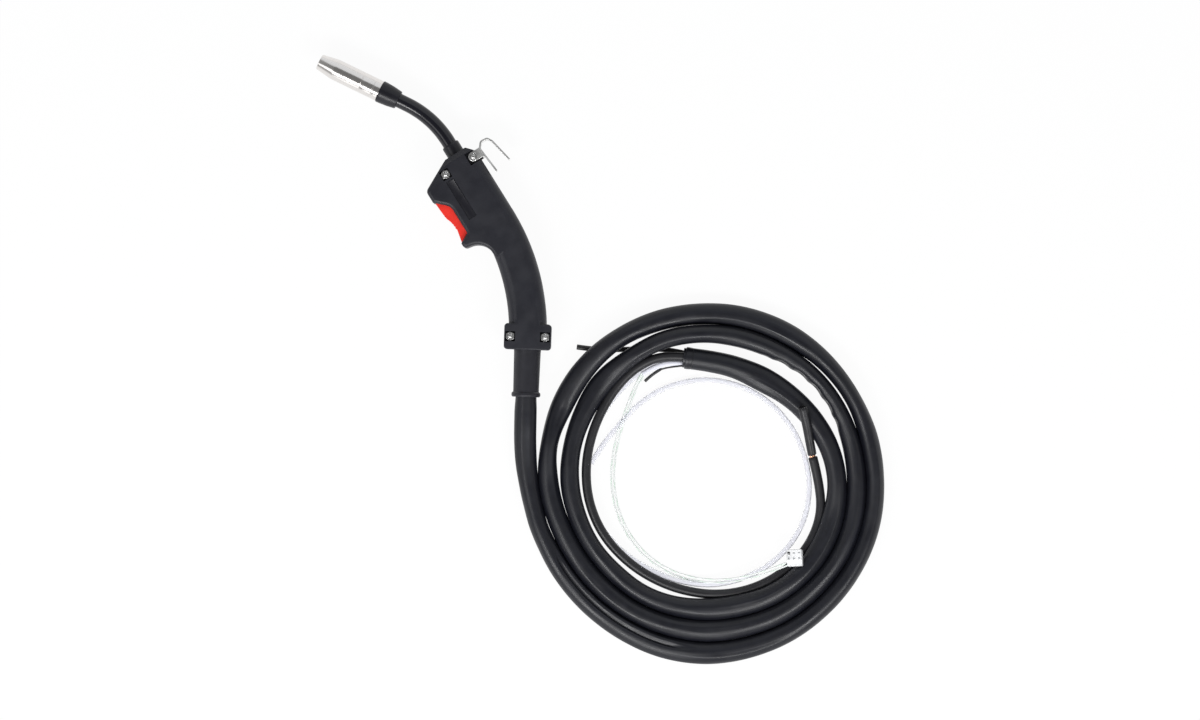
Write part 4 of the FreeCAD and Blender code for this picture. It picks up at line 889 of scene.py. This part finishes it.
def add_power_stub():
    """The cut-off end of the power cable: ribbed skin and frayed end; the bare strands in the gap
    are made by add_copper_strands.
    """
    line = route_line(STUB_ROUTE)

    def ribbed(number, turn):
        return POWER_RADIUS * (0.94 + 0.035 * math.cos(7 * turn) + 0.03 * number / len(line))

    tube("power_stub", line, POWER_RADIUS, "power_insulation", sides=56, shape=ribbed,
         lip=0.3 * MM, replaces=["power_cable_stub"])
    way, side_way, lift = section_frame(line, len(line) - 1)
    parts = []
    for number in range(FIBRES):
        angle = math.tau * number / FIBRES
        outward = math.cos(angle) * side_way + math.sin(angle) * lift
        start = line[-1] + FIBRE_CIRCLE * outward - 1 * MM * way
        length = (2.0 + 1.3 * noise.noise(Vector((0.7 * number, 0.0, 0.0)))) * MM
        end = start + length * way + 0.25 * length * math.sin(5.0 * number) * outward
        parts.append(strand([start, start.lerp(end, 0.5), end], FIBRE_RADIUS, sides=6))
    new_piece("stub_fibres", *merged(parts), "power_insulation")


def add_copper_strands():
    """Nineteen strands, twisted a little, between the power cable and its stub."""
    start = polar(*POWER_ROUTE[-1])
    end = polar(*STUB_ROUTE[0])
    way = (end - start).normalized()
    start, end = start - 1.5 * MM * way, end + 1.5 * MM * way
    side_way, lift = section_frame([start, end], 0)[1:]
    parts = []
    for count, radius in STRAND_LAYERS:
        for number in range(count):
            line = []
            for step in range(STRAND_STEPS + 1):
                turn = math.tau * number / count + 0.12 * step
                outward = math.cos(turn) * side_way + math.sin(turn) * lift
                line.append(start.lerp(end, step / STRAND_STEPS) + radius * MM * outward)
            parts.append(strand(line, STRAND_RADIUS))
    new_piece("copper_strands", *merged(parts), "copper", replaces=["copper_core"])


def add_shrink_end():
    """Shrink tube over the spare wire's end, drawn in at its mouth and pinched at its tip."""
    line = route_line(SHRINK_ROUTE, 0.8 * MM)
    last = len(line) - 1

    def shrunk(number, turn):
        share = number / last
        mouth = min(1.0, 0.65 + 2.5 * share)
        pinch = 1.0 - 0.35 * max(0.0, share - 0.8) / 0.2 * abs(math.sin(turn))
        return SHRINK_RADIUS * mouth * pinch

    tube("shrink_end", line, SHRINK_RADIUS, "black_wire", shape=shrunk, lip=0.1 * MM,
         replaces=["spare_wire_cap"])


def add_lines():
    add_power_stub()
    add_copper_strands()
    add_shrink_end()
    bevelled("plug_housing", "wire_connector", 0.35 * MM)
    add_line("power_line", POWER_ROUTE, POWER_RADIUS, "power_insulation", "bare", "stiff",
             "power_cable", with_pieces=["power_stub", "copper_strands", "stub_fibres"])
    add_line("gas_line", HOSE_ROUTE, HOSE_RADIUS, "clear_hose", "bare", "medium", "gas_hose")
    add_line("liner_tube", LINER_ROUTE, LINER_RADIUS, "liner_black", "bare", "stiff",
             "wire_liner")
    add_line("sleeve_tube", SLEEVE_ROUTE, SLEEVE_RADIUS, "white_sleeve", "bare", "limp",
             "wire_sleeve")
    add_line("spare_lead", SPARE_ROUTE, WIRE_RADIUS, "black_wire", "bare", "limp", "spare_wire",
             with_pieces=["shrink_end"])
    for letter, side in (("a", -WIRE_OFFSET), ("b", WIRE_OFFSET)):
        route = [(angle, distance + side, height) for angle, distance, height in CONTROL_ROUTE]
        add_line("signal_wire_" + letter, route, WIRE_RADIUS, "white_wire", "connector", "limp",
                 "control_wire_" + letter, with_pieces=["plug_housing"])


# Head and neck

# Radii and the start of the neck's bend, in millimetres
NECK_RADIUS = 6.15
NOZZLE_RADIUS = 9.05
GROOVE_RADIUS = 8.75
BEND_START = 52.5
BEND_RADIUS = 85.0
BEND = math.radians(32.0)
BEND_STEPS = 40


def add_head():
    """Nozzle and insulator; stations from the mount at the contact tip."""
    turned("nozzle_shell", TIP, HEAD_WAY, [
        (-39.9, 8.15, 0.0), (-39.9, NOZZLE_RADIUS, 0.35),
        (-34.4, NOZZLE_RADIUS, 0.15), (-34.35, GROOVE_RADIUS, 0.1),
        (-33.65, GROOVE_RADIUS, 0.1), (-33.6, NOZZLE_RADIUS, 0.15),
        (-23.4, NOZZLE_RADIUS, 0.15), (-23.35, GROOVE_RADIUS, 0.1),
        (-22.65, GROOVE_RADIUS, 0.1), (-22.6, NOZZLE_RADIUS, 0.15),
        (2.5, NOZZLE_RADIUS, 9.0), (17.0, 6.65, 0.45), (17.0, 5.3, 0.45),
        (2.5, 7.2, 3.0), (-24.9, 7.2, 0.0), (-24.9, 8.15, 0.0),
    ], "nozzle_nickel", body="nozzle", replaces=["gas_nozzle"], sides=128)
    turned("insulator_body", TIP, HEAD_WAY, [
        (-57.5, NECK_RADIUS, 0.0), (-57.5, 7.75, 1.1), (-49.5, 8.95, 12.0), (-42.4, 9.45, 1.2),
        (-40.0, 9.5, 0.5), (-40.0, 7.0, 0.2), (-26.0, 7.0, 0.6), (-26.0, 5.0, 0.0),
        (-53.5, 5.0, 0.0), (-53.5, NECK_RADIUS, 0.0),
    ], "insulator_black", replaces=["nozzle_insulator"])


def neck_line():
    """The neck's line: straight out of the handle, round the bend and on to the head."""
    line = [Vector((0.0, station * MM, MIDDLE)) for station in (6.0, 20.0, 34.0, 46.0)]
    for step in range(BEND_STEPS + 1):
        turn = BEND * step / BEND_STEPS
        line.append(Vector((-MM * BEND_RADIUS * (1 - math.cos(turn)),
                            MM * (BEND_START + BEND_RADIUS * math.sin(turn)), MIDDLE)))
    line.append(line[-1] + 6 * MM * HEAD_WAY)
    line.append(line[-2] + 12 * MM * HEAD_WAY)
    return line


def add_neck():
    line = neck_line()

    def soft(number, turn):
        place = Vector((0.35 * number, math.cos(turn), math.sin(turn)))
        return NECK_RADIUS * MM * (1.0 + 0.008 * noise.noise(place))

    tube("neck_skin", line, NECK_RADIUS * MM, "neck_black", sides=48, shape=soft,
         replaces=["neck_sleeve"])
    turned("neck_bush", FACE, FACE_WAY, [
        (-12.0, NECK_RADIUS, 0.0), (-12.0, 8.7, 0.3), (-9.0, 8.7, 0.3), (-9.0, 7.6, 0.0),
        (8.4, 7.6, 0.4), (9.7, 7.3, 0.5), (10.0, NECK_RADIUS, 0.2),
    ], "insulator_black", replaces=["neck_collar"])


# Handle

# Floors of the nuts' pockets above the parting plane, without and with the hook, in millimetres
SEAT = 13.0
HOOK_SEAT = 13.5
CLAMP_REACH = 14.75 * MM
# Each screw's place, the turn of its pocket in degrees and the floor of that pocket
SCREWS = [
    (Vector((-0.0166, 0.0286, MIDDLE)), 0.0, SEAT),
    (Vector((0.0111, 0.0291, MIDDLE)), 0.0, HOOK_SEAT),
    (REAR - CLAMP_REACH * REAR_ACROSS, -GRIP_TURN, SEAT),
    (REAR + CLAMP_REACH * REAR_ACROSS, -GRIP_TURN, SEAT),
]
# Nuts and screws, in millimetres
NUT_HEIGHT = 3.2
NUT_HALF_FLATS = 3.5
NUT_TOP_RADIUS = 0.96 * NUT_HALF_FLATS
THREAD_HOLE = 2.05
SCREW_RADIUS = 1.98
SCREW_HEAD_RADIUS = 3.9
RECESS_ARM = 2.0
RECESS_HALF_ARM = RECESS_ARM * math.tan(math.radians(15))


def nut_rings(turn, seat):
    """A hexagon nut with its corners turned off at the top, and a countersunk thread."""
    def across(angle):
        return NUT_HALF_FLATS / math.cos((angle - turn) % math.radians(60) - math.radians(30))

    def upper_edge(angle):
        off = (across(angle) - NUT_TOP_RADIUS) * math.tan(math.radians(30))
        return across(angle), seat + NUT_HEIGHT - off

    top = seat + NUT_HEIGHT
    return [
        (THREAD_HOLE, seat),
        lambda angle: (across(angle), seat),
        upper_edge,
        (NUT_TOP_RADIUS, top),
        (THREAD_HOLE + 0.55, top),
        (THREAD_HOLE, top - 0.5),
    ]


def screw_rings(seat):
    """A screw from its domed end down to its round head with a cross recess."""
    def cross(angle):
        along = max(abs(math.cos(angle)), 1e-6)
        aside = max(abs(math.sin(angle)), 1e-6)
        return max(min(RECESS_ARM / along, RECESS_HALF_ARM / aside),
                   min(RECESS_ARM / aside, RECESS_HALF_ARM / along))

    end = seat + NUT_HEIGHT + 0.4
    return [
        (0.05, end), (0.7, end - 0.04), (1.3, end - 0.2), (1.75, end - 0.5),
        (SCREW_RADIUS, end - 0.9), (SCREW_RADIUS, -seat + 0.05),
        (SCREW_HEAD_RADIUS, -seat + 0.05), (SCREW_HEAD_RADIUS, -seat - 1.3),
        (3.75, -seat - 1.9), (3.3, -seat - 2.35), (2.6, -seat - 2.6),
        lambda angle: (cross(angle), -seat - 2.6),
        lambda angle: (0.8 * cross(angle), -seat - 1.2),
    ]


def add_fasteners():
    nuts = []
    screws = []
    for place, turn, seat in SCREWS:
        nuts.append(stacked(place, nut_rings(math.radians(30 + turn), seat)))
        screws.append(stacked(place, screw_rings(seat)))
    new_piece("hexagon_nuts", *merged(nuts), "zinc_steel", replaces=["handle_nuts"], sharp=30.0)
    new_piece("cross_screws", *merged(screws), "zinc_steel", replaces=["handle_screws"])


def add_badge():
    """A bare panel with a low rim, set in the recess of the upper shell."""
    middle = Vector((-0.0162, 0.0040, 0.0334))
    half_width, half_length, corner = 3.55, 18.35, 0.9
    levels = ((0.0, 0.0), (0.0, 0.28), (0.08, 0.36), (0.45, 0.36), (0.6, 0.22))

    def outline(inset, height):
        half_x, half_y = half_width - inset, half_length - inset
        ring = []
        for centre_x, centre_y, start in ((1, 1, 0), (-1, 1, 90), (-1, -1, 180), (1, -1, 270)):
            for step in range(5):
                turn = math.radians(start + 22.5 * step)
                x = centre_x * (half_x - corner) + corner * math.cos(turn)
                y = centre_y * (half_y - corner) + corner * math.sin(turn)
                ring.append(middle + MM * Vector((x, y, height)))
        return ring

    verts = []
    for inset, height in levels:
        verts += outline(inset, height)
    rings = ring_numbers(len(levels), len(verts) // len(levels))
    new_piece("badge_panel", verts, [rings[-1]] + walls(rings), "insulator_black")


def add_return_coil():
    """The trigger's spring, a copy of the imported one with its own finish."""
    node = frame["nodes"]["trigger_spring"]
    coil = placed("return_coil", node.data.copy())
    dressed(coil, "spring_steel", replaces=["trigger_spring"])
    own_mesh(coil)


def add_handle():
    bevelled("upper_shell", "handle_shell_upper", 0.7 * MM)
    bevelled("lower_shell", "handle_shell_lower", 0.7 * MM)
    bevelled("trigger_lever", "trigger", 0.8 * MM, body="trigger")
    bevelled("hook_strip", "hook", 0.35 * MM)
    add_return_coil()
    add_fasteners()
    add_badge()
    turned("boot_skin", REAR, REAR_WAY, [
        (-9.0, 9.1, 0.0), (-9.0, 13.2, 0.6), (-6.0, 13.2, 0.6), (-6.0, 11.5, 0.3),
        (12.0, 11.45, 0.0), (13.5, 11.35, 0.6), (46.5, 10.9, 1.2), (47.7, 12.2, 0.6),
        (49.6, 12.35, 0.8), (51.0, 11.6, 0.8), (51.0, 9.6, 0.5), (46.0, 9.1, 0.0),
    ], "boot_rubber", replaces=["cable_boot"])


# Floor, light and background

FLOOR_REACH = 6.0
FLOOR_DROP = 0.2 * MM
FLOOR_GLOW = 0.94       # the rest is the floor's own colour, which takes the shadows
LAMP_DISTANCE = 2.2
WHITE = (1.0, 1.0, 1.0)
PALE_BLUE = (0.92, 0.96, 1.0)
# Each lamp's name, direction from +X and height above the ground in degrees, its width and
# height in metres, its power and its tint
LAMPS = [
    ("left_key", 211.0, 49.0, 1.2, 0.5, 27.0, WHITE),
    ("near_key", 268.0, 46.0, 1.0, 0.45, 20.0, WHITE),
    ("left_fill", 214.0, 20.0, 1.3, 1.0, 3.4, WHITE),
    ("end_fill", 170.0, 45.0, 1.2, 0.8, 4.2, WHITE),
    ("right_fill", 42.0, 36.0, 2.4, 1.9, 7.2, PALE_BLUE),
]


def gaze(tree):
    """1 where the camera, a reflection or a clear material looks straight at a surface."""
    path = tree.nodes.new("ShaderNodeLightPath")
    total = path.outputs["Is Camera Ray"]
    for ray in ("Is Glossy Ray", "Is Transmission Ray"):
        add = tree.nodes.new("ShaderNodeMath")
        add.operation = "MAXIMUM"
        tree.links.new(total, add.inputs[0])
        tree.links.new(path.outputs[ray], add.inputs[1])
        total = add.outputs["Value"]
    return total


def add_floor():
    mesh = bpy.data.meshes.new("floor")
    corners = []
    for x, y in ((-1, -1), (1, -1), (1, 1), (-1, 1)):
        corners.append((x * FLOOR_REACH, y * FLOOR_REACH, 0.0))
    mesh.from_pydata(corners, [], [(0, 1, 2, 3)])
    floor = placed("floor", mesh)
    floor.location.z = -FLOOR_DROP
    material = new_material("floor_white", (0.90, 0.90, 0.91), 0.7)
    tree = material.node_tree
    glow = add_node(tree, "ShaderNodeEmission", Color=(1.0, 1.0, 1.0, 1.0), Strength=1.0)
    mix = tree.nodes.new("ShaderNodeMixShader")
    share = tree.nodes.new("ShaderNodeMath")
    share.operation = "MULTIPLY"
    share.inputs[1].default_value = FLOOR_GLOW
    tree.links.new(gaze(tree), share.inputs[0])
    tree.links.new(share.outputs["Value"], mix.inputs["Fac"])
    tree.links.new(shader_of(material).outputs["BSDF"], mix.inputs[1])
    tree.links.new(glow.outputs["Emission"], mix.inputs[2])
    tree.links.new(mix.outputs["Shader"], tree.nodes["Material Output"].inputs["Surface"])
    mesh.materials.append(material)


def add_world():
    """Pale at the horizon, softer above, and darker straight overhead."""
    world = bpy.data.worlds.new("studio")
    bpy.context.scene.world = world
    world.use_nodes = True
    tree = world.node_tree
    background = tree.nodes["Background"]
    place = add_node(tree, "ShaderNodeTexCoord")
    split = add_node(tree, "ShaderNodeSeparateXYZ")
    levels = tree.nodes.new("ShaderNodeValToRGB")
    heights = ((0.0, 0.97), (0.16, 0.80), (0.32, 0.40), (0.80, 0.36), (0.95, 0.18))
    while len(levels.color_ramp.elements) < len(heights):
        levels.color_ramp.elements.new(0.5)
    for element, (height, level) in zip(levels.color_ramp.elements, heights):
        element.position = height
        element.color = (level, level, level, 1.0)
    tree.links.new(place.outputs["Generated"], split.inputs["Vector"])
    tree.links.new(split.outputs["Z"], levels.inputs["Fac"])
    tree.links.new(levels.outputs["Color"], background.inputs["Color"])
    background.inputs["Strength"].default_value = 1.0


def add_lamp(name, azimuth, elevation, wide, high, power, tint):
    """A soft panel that faces the part."""
    data = bpy.data.lights.new(name, "AREA")
    data.shape = "RECTANGLE"
    data.size = wide
    data.size_y = high
    data.energy = power
    data.color = tint
    lamp = placed(name, data)
    turn, lift = math.radians(azimuth), math.radians(elevation)
    level = Vector((math.cos(turn), math.sin(turn), 0.0))
    way = math.cos(lift) * level + math.sin(lift) * UP
    lamp.location = VIEW_MIDDLE + LAMP_DISTANCE * way
    lamp.rotation_euler = way.to_track_quat("Z", "Y").to_euler()


# Pieces of the CAD that keep their shape

def dress_nodes():
    """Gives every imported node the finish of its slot."""
    for name, node in frame["nodes"].items():
        node.data.materials.clear()
        node.data.materials.append(finishes[slot_of[name]])


add_camera()
add_jacket()
add_lines()
add_head()
add_neck()
add_handle()
dress_nodes()
add_floor()
add_world()
for lamp_settings in LAMPS:
    add_lamp(*lamp_settings)

bpy.context.scene.view_settings.view_transform = "Standard"
